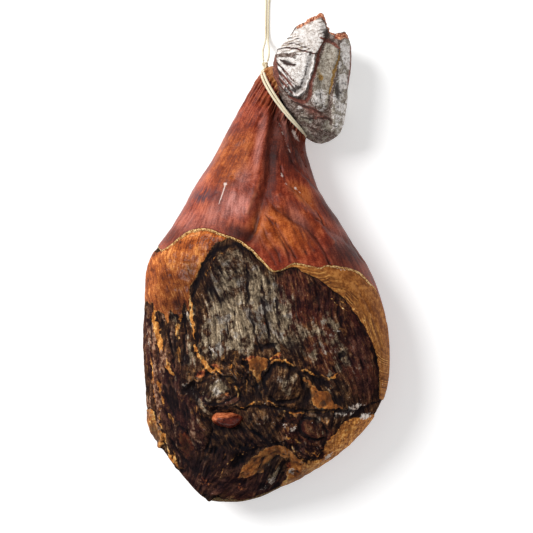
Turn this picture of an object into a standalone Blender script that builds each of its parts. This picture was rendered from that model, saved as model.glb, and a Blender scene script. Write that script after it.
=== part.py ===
"""A bone-in dry-cured ham that hangs by a string round its hock, laid on its back.

Frame: +Z up, +Y from the hip end to the hock, the cut face of the meat on top, and
z = 0 the surface that it lies on. The origin is under the middle of the ham's box.
The lengths in the tables and named values are millimetres, and MM turns them into metres.

Nodes: ham (meat, rind, shank and hock, one solid), femur_head (the ball of the thigh
bone that shows in the meat), string_loop (two turns round the hock and their knot) and
string_tail (the doubled string that hangs the ham, ending in a bight).
"""

import math

import bmesh
import bpy
import numpy as np
from mathutils import Matrix, Vector

MM = 0.001

# Sections of the leg, hip end first. left and right are the two edges of the outline
# seen from above, each with its height, rise is how far the cut face stands above the
# line between them, and drop is how far the back hangs below it.
LEG_STATIONS = (
    # left x, y, z          right x, y, z        rise  drop
    (-45.0, -295.5, 51.0, -45.0, -295.5, 51.0, 0.0, 0.0),
    (-73.0, -291.5, 52.0, -17.0, -291.0, 52.0, 17.0, 16.0),
    (-96.0, -270.0, 54.0, 32.0, -271.0, 53.0, 33.0, 29.0),
    (-120.0, -239.0, 57.0, 79.0, -243.0, 55.0, 49.0, 41.0),
    (-141.0, -206.0, 59.0, 118.0, -208.0, 57.0, 60.0, 51.0),
    (-146.0, -163.0, 59.0, 144.0, -165.0, 57.0, 69.0, 58.5),
    (-149.8, -112.0, 59.0, 150.0, -115.0, 57.0, 76.0, 61.5),
    (-148.0, -60.0, 59.0, 143.0, -60.0, 57.0, 79.0, 61.5),
    (-143.0, -5.0, 58.0, 121.5, -4.0, 56.0, 76.0, 59.0),
    (-112.0, 42.0, 55.0, 88.5, 42.0, 54.0, 68.0, 53.0),
    (-88.0, 84.0, 52.0, 63.0, 84.0, 52.0, 58.0, 47.0),
    (-62.0, 127.0, 49.0, 51.5, 121.0, 49.0, 49.0, 42.0),
    (-40.0, 168.0, 45.0, 48.0, 138.0, 46.0, 41.0, 37.0),
    (-20.0, 203.0, 43.0, 47.0, 146.5, 44.0, 35.5, 34.0),
    (0.5, 231.5, 42.0, 47.0, 152.0, 43.0, 33.0, 32.0),
    (17.0, 236.0, 42.0, 63.0, 163.0, 43.0, 34.0, 33.0),
)
NECK_STATION = 14  # the string lies here
FRONT_FULLNESS = 2.1  # exponent of the section's curve: 2 is an ellipse, more is boxier
BACK_FULLNESS = 2.0
LEG_RINGS = 56
FRONT_POINTS, BACK_POINTS = 34, 22

# Sections of the hock, from its heel up to the cut end, given as the leg's are, with
# low and high as the heights of its underside and its top.
HOCK_STATIONS = (
    # left x, y      right x, y      low   high
    (68.0, 141.5, 68.0, 141.5, 36.0, 36.0),
    (58.0, 146.0, 82.0, 147.0, 20.0, 54.0),
    (51.0, 156.0, 92.0, 157.0, 8.0, 70.0),
    (32.0, 183.0, 98.0, 184.0, 0.0, 82.0),
    (14.0, 214.0, 100.0, 210.0, -1.5, 87.0),
    (8.0, 231.0, 102.5, 228.0, -1.0, 87.0),
    (12.0, 248.0, 104.0, 242.0, 2.0, 85.0),
    (26.0, 264.0, 104.0, 254.0, 8.0, 81.0),
    (35.0, 279.0, 102.5, 262.0, 16.0, 75.0),
    (44.0, 285.0, 100.5, 266.0, 24.0, 68.0),
)
# The hock's section, once round from its left edge over the top: across and up, each
# from -1 to 1. Two ridges with a hollow between them run along its top.
HOCK_PROFILE = (
    (-1.0, 0.0),
    (-0.78, 0.55),
    (-0.42, 0.86),
    (-0.02, 1.0),
    (0.2, 0.82),
    (0.42, 0.8),
    (0.6, 0.84),
    (0.86, 0.5),
    (1.0, 0.0),
    (0.9, -0.6),
    (0.5, -0.96),
    (0.0, -1.0),
    (-0.5, -0.96),
    (-0.88, -0.6),
)
HOCK_POINTS = 30
HOCK_RINGS = 15
# How far the cut end reaches past its last section, from the left edge to the right:
# a broad horn, a notch and a small horn. Its underside reaches less.
CUT_END = (
    (-1.0, 1.0), (-0.48, 13.0), (-0.22, 20.0), (-0.09, 18.0), (0.03, 9.0),
    (0.16, 1.5), (0.33, -1.5), (0.59, 3.5), (0.84, 11.0), (1.0, 5.0),
)
CUT_END_BLUR = 0.05

# Relief of the upper side, in millimetres up (or down): long folds and rounded muscles.
FOLDS = (
    # path                                                  half width, height
    (((7, 177), (6, 131), (4, 95), (0, 59), (-10, 26)), 9.0, -6.0),
    (((23, 167), (31, 131), (47, 101), (71, 65)), 8.0, 3.0),
    (((7, 74), (20, 57), (41, 41), (71, 17)), 7.0, -3.5),
    (((-97, -40), (-95, -85), (-84, -135)), 9.0, -4.0),
    (((-25, -184), (41, -179), (113, -169)), 7.0, -4.5),
    (((-72, -196), (-62, -226), (-52, -262)), 9.0, -4.0),
)
MUSCLES = (
    # centre x, y, half length x, y, height
    (-40, 71, 34, 46, 4.0),
    (-14, -58, 56, 62, 6.0),
    (92, -92, 40, 62, 4.0),
    (20, -151, 24, 25, 4.5),
    (-28, -220, 40, 24, 5.0),
    (-64, -163, 15, 15, -7.0),
    (68, -196, 20, 15, 5.0),
    (26, -254, 32, 18, 5.0),
    (-112, -150, 22, 50, 3.0),
)
# The lower edge of the rind across the upper side. The cut face lies a step below it.
RIND_EDGE = (
    (-150, 4), (-127, 15), (-108, 22), (-75, 38), (-48, 29), (-20, 20), (-4, 2), (10, -12),
    (25, -14), (40, -5), (60, -12), (95, -12), (120, -32), (137, -68), (146, -120), (149, -160),
)
RIND_STEP = 4.0
STEP_WIDTH = 6.0

BONE_CENTRE = (-45.0, -187.0, 115.0)
BONE_RADII = (18.0, 12.0, 14.0)
GAP = 0.35  # between pieces that touch

STRING = 2.6  # diameter
STRING_SPACING = STRING + 0.4
LOOP_SAG = -9.0  # how far the loop sags down the shank on the upper side
LOOP_CLEARANCE = 0.8
LOOP_POINTS = 28  # on each turn
KNOT_RADII = (4.2, 4.6, 3.8)
# The tail's route: out of the knot, down to the surface, round the bight and back.
TAIL_ROUTE = (
    (-3.0, 241.6, 43.5), (-3.7, 249.0, 39.5), (-3.6, 256.0, 31.0), (-2.6, 262.0, 21.0),
    (-1.4, 267.0, 12.0), (-0.6, 273.0, 4.8), (-0.3, 281.0, 1.7), (-0.2, 300.0, 1.4),
    (0.2, 318.0, 1.4), (-0.2, 328.0, 1.4), (-1.6, 336.0, 1.4), (-3.6, 343.0, 1.4),
    (-4.4, 350.0, 1.4), (-2.1, 355.5, 1.4), (3.4, 357.8, 1.4), (8.9, 355.5, 1.4),
    (11.2, 350.0, 1.4), (10.4, 343.0, 1.4), (8.0, 336.0, 1.4), (5.4, 328.0, 1.4),
    (3.6, 318.0, 1.4), (2.9, 300.0, 1.4), (2.8, 281.0, 1.7), (2.6, 273.0, 4.8),
    (2.7, 267.0, 12.0), (3.3, 262.0, 21.0), (3.8, 256.0, 31.0), (3.5, 249.0, 39.5),
    (2.0, 241.6, 43.5),
)
TAIL_PARTS = 2  # straight pieces between two points of the route


def smooth_through(rows, t):
    """A smooth curve (Catmull-Rom) through the rows, at the places t. Row 0 is a phantom
    that only gives the slope at the first real row, which is at t = 0."""
    rows = np.asarray(rows, float)
    rows = np.vstack([rows, 2 * rows[-1] - rows[-2]])
    i = np.clip(np.floor(t).astype(int), 0, len(rows) - 4)
    f = (t - i)[:, None]
    before, here, after, beyond = (rows[i + k] for k in range(4))
    return 0.5 * (
        2 * here
        + (after - before) * f
        + (2 * before - 5 * here + 4 * after - beyond) * f**2
        + (3 * here - before - 3 * after + beyond) * f**3
    )


def along(table, at, blur):
    """A value read from a table of (place, value) rows, with its corners rounded off."""
    places, values = np.array(table, float).T
    return np.mean([np.interp(at + blur * k, places, values) for k in np.linspace(-1, 1, 9)], axis=0)


def distance_to_path(x, y, path):
    """How far the points lie from a line through the path's points, seen from above."""
    best = np.full(np.shape(x), np.inf)
    for (ax, ay), (bx, by) in zip(path, path[1:]):
        dx, dy = bx - ax, by - ay
        f = np.clip(((x - ax) * dx + (y - ay) * dy) / (dx * dx + dy * dy), 0, 1)
        best = np.minimum(best, np.hypot(x - ax - f * dx, y - ay - f * dy))
    return best


def below_edge(x, y, edge):
    """1 on the side of the edge away from the hock, 0 on the other, easing over the step."""
    edge_x, edge_y = np.array(edge, float).T
    depth = np.interp(x, edge_x, edge_y) - y
    return np.clip(depth / STEP_WIDTH, 0, 1)


def relief(x, y):
    """How far the upper side stands out from the plain leg, in millimetres."""
    height = -RIND_STEP * below_edge(x, y, RIND_EDGE)
    for path, width, amount in FOLDS:
        height += amount * np.exp(-((distance_to_path(x, y, path) / width) ** 2))
    for centre_x, centre_y, half_x, half_y, amount in MUSCLES:
        share = ((x - centre_x) / half_x) ** 2 + ((y - centre_y) / half_y) ** 2
        height += amount * np.exp(-(share**1.5))
    return height


def leg_sections(t):
    """The station values at the places t along the leg, from 0 at the hip end."""
    rows = np.array(LEG_STATIONS)
    first = rows[1]
    phantom = np.concatenate([first[3:6], first[0:3], -first[6:8]])
    return smooth_through(np.vstack([phantom, rows]), t)


def leg_surface(t, angle):
    """Points of the leg in millimetres. t runs along it, and angle round it, from 0 at
    the right edge over the top to pi at the left edge and on under the back."""
    left_x, left_y, left_z, right_x, right_y, right_z, rise, drop = leg_sections(t).T
    top = np.sin(angle) >= 0
    power = 2 / np.where(top, FRONT_FULLNESS, BACK_FULLNESS)
    across = np.sign(np.cos(angle)) * np.abs(np.cos(angle)) ** power
    up = np.sign(np.sin(angle)) * np.abs(np.sin(angle)) ** power
    share = (1 + across) / 2
    x = left_x + share * (right_x - left_x)
    y = left_y + share * (right_y - left_y)
    z = left_z + share * (right_z - left_z) + up * np.where(top, rise, drop)
    z += np.where(top, np.clip(up * 2.5, 0, 1) * relief(x, y), 0)
    return np.stack([x, y, np.maximum(z, 0)], axis=-1)


def evenly_along(count, end):
    """Places along the leg whose sections are about equally far apart."""
    t = np.linspace(0, end, 400)
    rows = leg_sections(t)
    edges = rows[:, [0, 1, 3, 4, 6]]
    run = np.concatenate([[0], np.cumsum(np.linalg.norm(np.diff(edges, axis=0), axis=1))])
    return np.interp(np.linspace(0, run[-1], count), run, t)


def material(name, colour, roughness):
    made = bpy.data.materials.new(name)
    made.use_nodes = True
    shader = made.node_tree.nodes["Principled BSDF"]
    shader.inputs["Base Color"].default_value = (*colour, 1)
    shader.inputs["Roughness"].default_value = roughness
    shader.inputs["Metallic"].default_value = 0
    return made


def add_object(name, mesh, collection, finish=None):
    made = bpy.data.objects.new(name, mesh)
    collection.objects.link(made)
    if finish:
        mesh.materials.append(finish)
    return made


def loft(name, rings, first_tip, last_tip):
    """A closed mesh through rings of points in millimetres, with a point at each end."""
    shape = bmesh.new()
    rows = [[shape.verts.new(Vector(p) * MM) for p in ring] for ring in rings]
    for row, after in zip(rows, rows[1:]):
        for k in range(len(row)):
            n = (k + 1) % len(row)
            shape.faces.new((row[k], row[n], after[n], after[k]))
    for tip, row in ((first_tip, rows[0]), (last_tip, rows[-1])):
        centre = shape.verts.new(Vector(tip) * MM)
        for k in range(len(row)):
            shape.faces.new((row[k], row[(k + 1) % len(row)], centre))
    bmesh.ops.recalc_face_normals(shape, faces=shape.faces)
    mesh = bpy.data.meshes.new(name)
    shape.to_mesh(mesh)
    shape.free()
    return mesh


def leg_mesh():
    """The leg from the hip end to inside the hock."""
    front = np.linspace(0, math.pi, FRONT_POINTS, endpoint=False)
    back = np.linspace(math.pi, 2 * math.pi, BACK_POINTS, endpoint=False)
    angles = np.concatenate([front, back])
    places = evenly_along(LEG_RINGS + 1, len(LEG_STATIONS) - 1)[1:]
    rings = [leg_surface(np.full(len(angles), t), angles) for t in places]
    tip = leg_surface(np.array([0.0]), np.array([0.0]))[0]
    return loft("leg", rings, tip, rings[-1].mean(axis=0))


def hock_mesh():
    """The block of the hock with its two ridges and its cut end."""
    stations = np.array(HOCK_STATIONS)
    first = stations[1]
    phantom = np.concatenate([first[2:4], first[0:2], first[[5, 4]]])
    t = np.linspace(0, len(stations) - 1, HOCK_RINGS + 1)[1:]
    rows = smooth_through(np.vstack([phantom, stations]), t)
    profile = np.array(HOCK_PROFILE)
    looped = np.vstack([profile[-1], profile, profile[:2]])
    round_it = np.linspace(0, len(profile), HOCK_POINTS, endpoint=False)
    across, up = smooth_through(looped, round_it).T
    rings = []
    for place, (left_x, left_y, right_x, right_y, low, high) in zip(t, rows):
        share = (1 + across) / 2
        reach = along(CUT_END, across, CUT_END_BLUR) * max(0.0, place / (len(stations) - 1) * 4 - 3)
        reach *= (1.2 + up) / 2.2
        x = left_x + share * (right_x - left_x)
        y = left_y + share * (right_y - left_y) + reach
        z = (low + high) / 2 + up * (high - low) / 2
        rings.append(np.stack([x, y, np.maximum(z, 0)], axis=-1))
    centre = rings[-1].mean(axis=0)
    inner = centre + (rings[-1] - centre) * 0.55 - np.array([2.0, 5.0, 0.0])
    tip = rings[0].mean(axis=0) + np.array([0.0, -3.5, 0.0])
    return loft("hock", [*rings, inner], tip, inner.mean(axis=0))


def ellipsoid(name, centre, radii, turn=0.0):
    shape = bmesh.new()
    bmesh.ops.create_uvsphere(shape, u_segments=16, v_segments=10, radius=1)
    place = Matrix.Translation(Vector(centre) * MM) @ Matrix.Rotation(turn, 4, "Z")
    bmesh.ops.transform(shape, matrix=place @ Matrix.Diagonal((*[r * MM for r in radii], 1)), verts=shape.verts)
    mesh = bpy.data.meshes.new(name)
    shape.to_mesh(mesh)
    shape.free()
    return mesh


def loop_points():
    """Two turns of the string round the neck, side by side, sagging a little on top."""
    turns = np.linspace(0, 2, 2 * LOOP_POINTS + 1)
    angle = math.pi - 2 * math.pi * turns
    place = np.full(len(turns), float(NECK_STATION))
    left, right = leg_surface(place[:2], np.array([math.pi, 0.0]))
    across = (right - left) / np.linalg.norm(right - left)
    axis = np.cross([0.0, 0.0, 1.0], across)
    ahead, behind = leg_surface(place + 0.05, angle), leg_surface(place - 0.05, angle)
    rate = ((ahead - behind) / 0.1) @ axis
    side = STRING_SPACING * (turns - 1) + LOOP_SAG * np.clip(np.sin(angle), 0, 1) ** 0.7
    place += side / rate
    skin = leg_surface(place, angle)
    run_round = leg_surface(place, angle + 0.02) - leg_surface(place, angle - 0.02)
    run_along = leg_surface(place + 0.02, angle) - leg_surface(place - 0.02, angle)
    out = np.cross(run_round, run_along)
    out /= np.linalg.norm(out, axis=1)[:, None]
    out *= np.sign((out * (skin - (left + right) / 2)).sum(axis=1))[:, None]
    return skin + out * (STRING / 2 + LOOP_CLEARANCE)


def tail_points():
    """Out along one strand of the tail, round the bight and back along the other."""
    route = np.array(TAIL_ROUTE)
    steps = len(route) - 1
    rows = np.vstack([2 * route[0] - route[1], route])
    return smooth_through(rows, np.linspace(0, steps, TAIL_PARTS * steps + 1))


def tube(name, points, collection, finish):
    """A round tube with filled ends along points in millimetres, as a curve object."""
    curve = bpy.data.curves.new(name, "CURVE")
    curve.dimensions = "3D"
    curve.bevel_depth = STRING / 2 * MM
    curve.bevel_resolution = 2
    curve.use_fill_caps = True
    spline = curve.splines.new("POLY")
    spline.points.add(len(points) - 1)
    for control, point in zip(spline.points, points):
        control.co = (*(point * MM), 1)
    curve.materials.append(finish)
    made = bpy.data.objects.new(name, curve)
    collection.objects.link(made)
    return made


def meshed(tube_object, collection):
    """The tube as a mesh object of the same name, closed at its ends, in place of its curve."""
    name = tube_object.name
    bpy.context.view_layer.update()
    graph = bpy.context.evaluated_depsgraph_get()
    mesh = bpy.data.meshes.new_from_object(tube_object.evaluated_get(graph))
    bpy.data.objects.remove(tube_object)
    mesh.name = name
    shape = bmesh.new()
    shape.from_mesh(mesh)
    bmesh.ops.remove_doubles(shape, verts=shape.verts, dist=1e-6)
    bmesh.ops.recalc_face_normals(shape, faces=shape.faces)
    shape.to_mesh(mesh)
    shape.free()
    return add_object(name, mesh, collection)


def boolean(target, other, operation):
    modifier = target.modifiers.new(operation.lower() + "_" + other.name, "BOOLEAN")
    modifier.operation = operation
    modifier.object = other
    other.hide_render = True
    other.display_type = "WIRE"


def build():
    for old in list(bpy.data.objects):
        bpy.data.objects.remove(old)
    parts = bpy.data.collections.new("cured_ham")
    helpers = bpy.data.collections.new("cutters")
    for collection in (parts, helpers):
        bpy.context.scene.collection.children.link(collection)

    skin = material("rind_and_meat", (0.24, 0.06, 0.025), 0.45)
    bone = material("bone_cartilage", (0.45, 0.09, 0.03), 0.3)
    twine = material("cotton_string", (0.78, 0.7, 0.5), 0.9)

    ham = add_object("ham", leg_mesh(), parts, skin)
    hock = add_object("hock", hock_mesh(), helpers)
    boolean(ham, hock, "UNION")
    seat_radii = [r + GAP for r in BONE_RADII]
    seat = add_object("bone_seat", ellipsoid("bone_seat", BONE_CENTRE, seat_radii), helpers)
    boolean(ham, seat, "DIFFERENCE")
    ham.data.shade_smooth()

    add_object("femur_head", ellipsoid("femur_head", BONE_CENTRE, BONE_RADII), parts, bone)

    turns = loop_points()
    loop = meshed(tube("string_loop", turns, parts, twine), parts)
    start = (turns[0] + turns[-1]) / 2
    knot_centre = start + np.array([-0.6, 3.2, 0.8])
    knot = add_object("knot", ellipsoid("knot", knot_centre, KNOT_RADII), helpers)
    boolean(loop, knot, "UNION")
    tube("string_tail", tail_points(), parts, twine)


build()
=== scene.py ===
"""The looks of a bone-in dry-cured ham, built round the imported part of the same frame.

Lengths in the tables and named values are millimetres, and MM turns them into metres.
The features of the upper side are laid out on a level plane at mid height, where the
camera straight above sees them, so a point (u, v) of that plane is across and along the ham.
"""

import math
from itertools import product

import bpy
import numpy as np
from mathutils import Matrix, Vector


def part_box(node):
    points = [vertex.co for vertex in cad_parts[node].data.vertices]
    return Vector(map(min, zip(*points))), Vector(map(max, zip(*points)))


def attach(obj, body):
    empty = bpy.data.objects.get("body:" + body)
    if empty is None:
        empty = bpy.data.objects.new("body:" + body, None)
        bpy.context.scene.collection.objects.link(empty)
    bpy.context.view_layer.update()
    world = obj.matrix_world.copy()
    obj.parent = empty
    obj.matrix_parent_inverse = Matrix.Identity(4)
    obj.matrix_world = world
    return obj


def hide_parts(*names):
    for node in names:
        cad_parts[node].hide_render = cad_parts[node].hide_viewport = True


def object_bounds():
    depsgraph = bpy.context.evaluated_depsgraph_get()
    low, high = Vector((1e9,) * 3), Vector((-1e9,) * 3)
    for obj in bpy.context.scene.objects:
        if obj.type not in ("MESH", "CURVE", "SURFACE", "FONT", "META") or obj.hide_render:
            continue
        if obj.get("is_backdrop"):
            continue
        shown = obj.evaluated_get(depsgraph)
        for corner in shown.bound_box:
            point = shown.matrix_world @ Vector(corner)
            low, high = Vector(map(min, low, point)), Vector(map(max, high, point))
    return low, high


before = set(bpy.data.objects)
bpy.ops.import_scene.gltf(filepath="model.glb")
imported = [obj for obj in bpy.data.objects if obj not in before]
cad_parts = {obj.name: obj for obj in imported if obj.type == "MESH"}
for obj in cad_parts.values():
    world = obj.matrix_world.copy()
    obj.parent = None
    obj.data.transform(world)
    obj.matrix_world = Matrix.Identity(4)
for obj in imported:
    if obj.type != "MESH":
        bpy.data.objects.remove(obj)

MM = 0.001

# The camera looks straight down on the ham.
CAMERA_X, CAMERA_Y = 0.6, -9.0
CAMERA_ABOVE = 2200.0  # over the level plane
LEVEL = 80.0  # height of that plane
VIEW_WIDTH = 639.6  # of the level plane, across the picture
SENSOR_WIDTH = 36

# Lights: name, place in metres, width in metres, power in watts.
LIGHTS = (
    ("key", (-2.9, 1.9, 3.2), 2.5, 225.0),
    ("fill", (2.4, -1.6, 3.6), 3.0, 30.0),
)
WORLD_STRENGTH = 0.42
FLOOR_GLOW = 0.27  # thins the shadow on the floor
FLOOR_REACH = 9  # metres each way

# Points of the grids: the cut face's columns and the rows of its two parts, the rind's, the
# hock's and the ball's.
FACE_COLUMNS, LOWER_ROWS, UPPER_ROWS = 430, 150, 230
RIND_FRONT_ROWS, RIND_BACK_ROWS, RIND_FRONT_COLUMNS, RIND_BACK_COLUMNS = 190, 140, 270, 110
HOCK_ROWS, HOCK_COLUMNS = 230, 290
BALL_ROWS, BALL_COLUMNS = 56, 84

# Sections of the leg, hip end first, as in the part.
LEG_STATIONS = (
    # left x, y, z, right x, y, z, rise, drop
    (-45, -295.5, 51, -45, -295.5, 51, 0, 0),
    (-73, -291.5, 52, -17, -291, 52, 17, 16),
    (-96, -270, 54, 32, -271, 53, 33, 29),
    (-120, -239, 57, 79, -243, 55, 49, 41),
    (-141, -206, 59, 118, -208, 57, 60, 51),
    (-146, -163, 59, 144, -165, 57, 69, 58.5),
    (-149.8, -112, 59, 150, -115, 57, 76, 61.5),
    (-148, -60, 59, 143, -60, 57, 79, 61.5),
    (-143, -5, 58, 121.5, -4, 56, 76, 59),
    (-112, 42, 55, 88.5, 42, 54, 68, 53),
    (-88, 84, 52, 63, 84, 52, 58, 47),
    (-62, 127, 49, 51.5, 121, 49, 49, 42),
    (-40, 168, 45, 48, 138, 46, 41, 37),
    (-20, 203, 43, 47, 146.5, 44, 35.5, 34),
    (0.5, 231.5, 42, 47, 152, 43, 33, 32),
    (17, 236, 42, 63, 163, 43, 34, 33),
)
NECK_STATION = 14  # the string lies here
HIP_PLACE = 0.02  # just inside the first section
FRONT_FULLNESS = 2.1  # exponent of the section's curve: 2 is an ellipse
BACK_FULLNESS = 2.0
# Rough measures that points and grain are spaced by: half the leg's width and height, and
# the millimetres in a radian and in a station of the shank.
HALF_WIDTH, HALF_HEIGHT = 150, 70
RADIAN_LENGTH, STATION_LENGTH = 52, 44

# Sections of the hock from its heel up: left x, y, right x, y, lowest and highest point.
HOCK_STATIONS = (
    (68, 141.5, 68, 141.5, 36, 36), (53, 146, 82, 147, 20, 55), (43, 156, 92, 157, 8, 71),
    (23, 183, 98, 184, 0, 82), (11.5, 214, 100, 210, -1.5, 87), (8, 231, 102.5, 228, -1, 87),
    (12, 248, 104, 242, 2, 85), (26, 264, 104, 254, 8, 81), (35, 279, 102.5, 262, 16, 75),
    (44, 285, 100.5, 266, 24, 68),
)
# The hock's section once round from its left edge over the top, across and up from -1 to 1.
HOCK_PROFILE = (
    (-1, 0.25), (-0.95, 0.72), (-0.56, 0.93), (-0.02, 1), (0.2, 0.84), (0.42, 0.8), (0.6, 0.84),
    (0.86, 0.5), (1, 0), (0.9, -0.6), (0.5, -0.96), (0, -1), (-0.5, -0.96), (-0.9, -0.6),
)
# How far the cut end reaches past the last section, from the left edge to the right.
CUT_END = (
    (-1, 1), (-0.48, 13), (-0.22, 20), (-0.09, 18), (0.03, 9), (0.16, 1.5), (0.33, -1.5), (0.59, 3.5),
    (0.84, 11), (1, 5),
)
CUT_END_BLUR = 0.05
CUT_END_HOLLOW = 10
CUT_END_RINGS = (0.08, 0.18, 0.32, 0.5, 0.7, 0.88, 0.99)  # shares of the way to its middle
FLOOR_GAP = 0.15  # the lowest that the skin goes

# Where the rind ends across the upper side.
RIND_EDGE = (
    (-150, 4), (-131, 16), (-127, 12), (-120, 14), (-96, 32), (-78, 37), (-64, 35), (-55, 31), (-34, 24),
    (-19, 14), (-5, 0), (8, -13), (19, -12), (32, -5), (41, -5), (64, -10), (73, -7), (96, -10),
    (113, -16), (125, -28), (133, -37), (142, -62), (144, -73), (152, -100),
)
RIND_THICKNESS = 3.4
RIND_EDGE_LENGTH = 330
# The slope of cut fat at the rind's edge: how far down and how far out from it.
LIP_STEPS = ((0.25, 0.5), (0.9, 1.2), (1.8, 1.8), (3.0, 2.1), (6.0, 2.2))
SIDE_LAP = 0.14  # radians that the cut face reaches under the widest line of the ham

# The main crease across the cut face, from edge to edge.
CREASE = (
    (-155, -196), (-110, -192), (-72, -182), (-50, -178), (-31, -180), (-5, -178), (19, -181), (43, -184),
    (67, -185), (95, -184), (119, -180), (138, -170), (155, -166),
)

# Outlines of the large regions of the cut face.
SMOKED_FAT = (
    (-132, 11), (-115, 22), (-94, 35), (-72, 39), (-55, 35), (-43, 28), (-53, 23), (-64, 17), (-71, 7),
    (-76, -5), (-83, -19), (-89, -34), (-92, -49), (-100, -64), (-108, -77), (-120, -71), (-130, -64),
    (-139, -62), (-148, -64), (-163, -64), (-163, 11),
)
FAT_STRIP = (
    (5, -8), (12, -12), (22, -12), (36, -10), (47, -16), (65, -25), (82, -38), (95, -48), (104, -61),
    (114, -74), (122, -89), (131, -107), (136, -124), (138, -143), (138, -160), (139, -169), (166, -151),
    (166, 4), (95, 11), (29, 11),
)
TOP_MUSCLE = (
    (-70, -4), (-53, 11), (-31, 11), (-13, 0), (5, -23), (23, -34), (36, -52), (42, -73), (40, -97),
    (26, -107), (5, -104), (-19, -107), (-36, -109), (-53, -114), (-70, -113), (-79, -103), (-76, -73),
    (-73, -49), (-72, -25),
)
LOW_FAT = (
    (127, -186), (115, -190), (106, -193), (96, -198), (89, -205), (84, -211), (76, -217), (71, -228),
    (68, -238), (60, -242), (41, -251), (20, -270), (29, -283), (77, -272), (113, -244), (143, -205),
)
SIDE_FAT = (
    (-140, -180), (-136, -186), (-132, -198), (-127, -210), (-124, -223), (-130, -226), (-142, -217),
    (-156, -193), (-151, -180),
)
FAT_PATCH = (
    (44, -143), (53, -158), (56, -169), (62, -179), (77, -181), (95, -179), (83, -174), (79, -166),
    (74, -160), (65, -159), (56, -152), (49, -144),
)
FAT_WEDGE = (
    (-34, -265), (-28, -254), (-19, -244), (-10, -235), (1, -228), (12, -224), (22, -226), (29, -232),
    (37, -240), (46, -246), (41, -256), (30, -265), (24, -259), (30, -250), (29, -242), (22, -240),
    (16, -236), (7, -240), (1, -247), (-5, -256), (-14, -260), (-24, -265),
)
RED_TISSUE = (
    (-23, -127), (-17, -120), (-4, -118), (2, -120), (1, -130), (-5, -137), (-5, -148), (-2, -162),
    (-8, -161), (-12, -149), (-16, -136),
)

# Thin fat seams of the cut face: half width, height, points.
FAT_SEAMS = (
    (3.2, 1.6, ((-137, -58), (-134, -80), (-130, -98), (-124, -119), (-113, -142))),
    (3.3, 1.3, ((-104, -66), (-107, -80), (-108, -92), (-108, -101))),
    (2.2, 1, ((-106, -103), (-106, -112), (-105, -122))),
    (1.8, 0.9, ((-93, -36), (-91, -53), (-90, -66), (-88, -80), (-87, -97))),
    (2.8, 1.3, ((-87, -103), (-84, -110), (-78, -120), (-73, -127), (-66, -138))),
    (2.1, 1.1, (
        (-65, -137), (-60, -133), (-53, -136), (-47, -142), (-40, -151), (-34, -160), (-35, -166),
    )),
    (1.9, 0.9, ((-53, -136), (-46, -133), (-40, -128))),
    (2.5, 1.2, ((-136, -126), (-134, -144), (-128, -158), (-126, -174))),
    (1.8, 0.9, (
        (-140, -118), (-138, -140), (-134, -160), (-131, -178), (-128, -200), (-117, -236), (-104, -252),
    )),
    (2.3, 1.2, ((-120, -187), (-113, -194), (-108, -199))),
    (1.3, 0.8, ((-114, -230), (-111, -241), (-108, -248), (-101, -253))),
    (1.1, 0.6, ((-84, -4), (-80, -11), (-76, -4), (-66, 6), (-54, 11))),
    (1.1, 0.4, ((-52, 7), (-61, 3), (-68, -9), (-73, -22), (-75, -36))),
    (1.6, 0.9, ((-124, 18), (-127, 12), (-120, 16))),
    (1.1, 0.6, ((-53, -240), (-48, -235))),
    (1.8, 1, ((38, -132), (46, -134), (54, -138), (65, -142), (78, -143), (86, -138))),
    (2, 1.6, ((6, -126), (16, -121), (24, -124), (34, -128))),
    (1.3, 0.9, ((4, -122), (10, -116), (18, -112))),
    (1.2, 0.6, ((-8, -167), (-1, -170), (7, -174), (18, -182))),
    (1.4, 0.9, ((-20, -126), (-14, -136), (-11, -146), (-6, -158))),
    (1.5, 0.5, ((20, -185), (41, -186), (62, -185), (85, -185))),
    (1.5, 0.7, ((-31, -178), (-19, -174), (-5, -172))),
    (1, 0.7, ((-56, -264), (-50, -252), (-43, -244), (-32, -238), (-22, -232))),
    (1.2, 0.8, ((-28, -232), (-19, -229), (-13, -226))),
    (1.6, 0.8, ((26, -214), (32, -217), (41, -223))),
    (1.2, 0.7, ((55, -232), (61, -236), (67, -234))),
    (1.3, 0.6, ((32, -226), (36, -235), (44, -242), (56, -245), (66, -241))),
    (1.2, 0.5, ((17, -277), (41, -268), (65, -253), (89, -235), (108, -217))),
    (1.1, 0.5, ((89, -49), (103, -59), (115, -71), (125, -83))),
    (1, 0.5, ((77, -46), (90, -58), (101, -64))),
)
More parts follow.
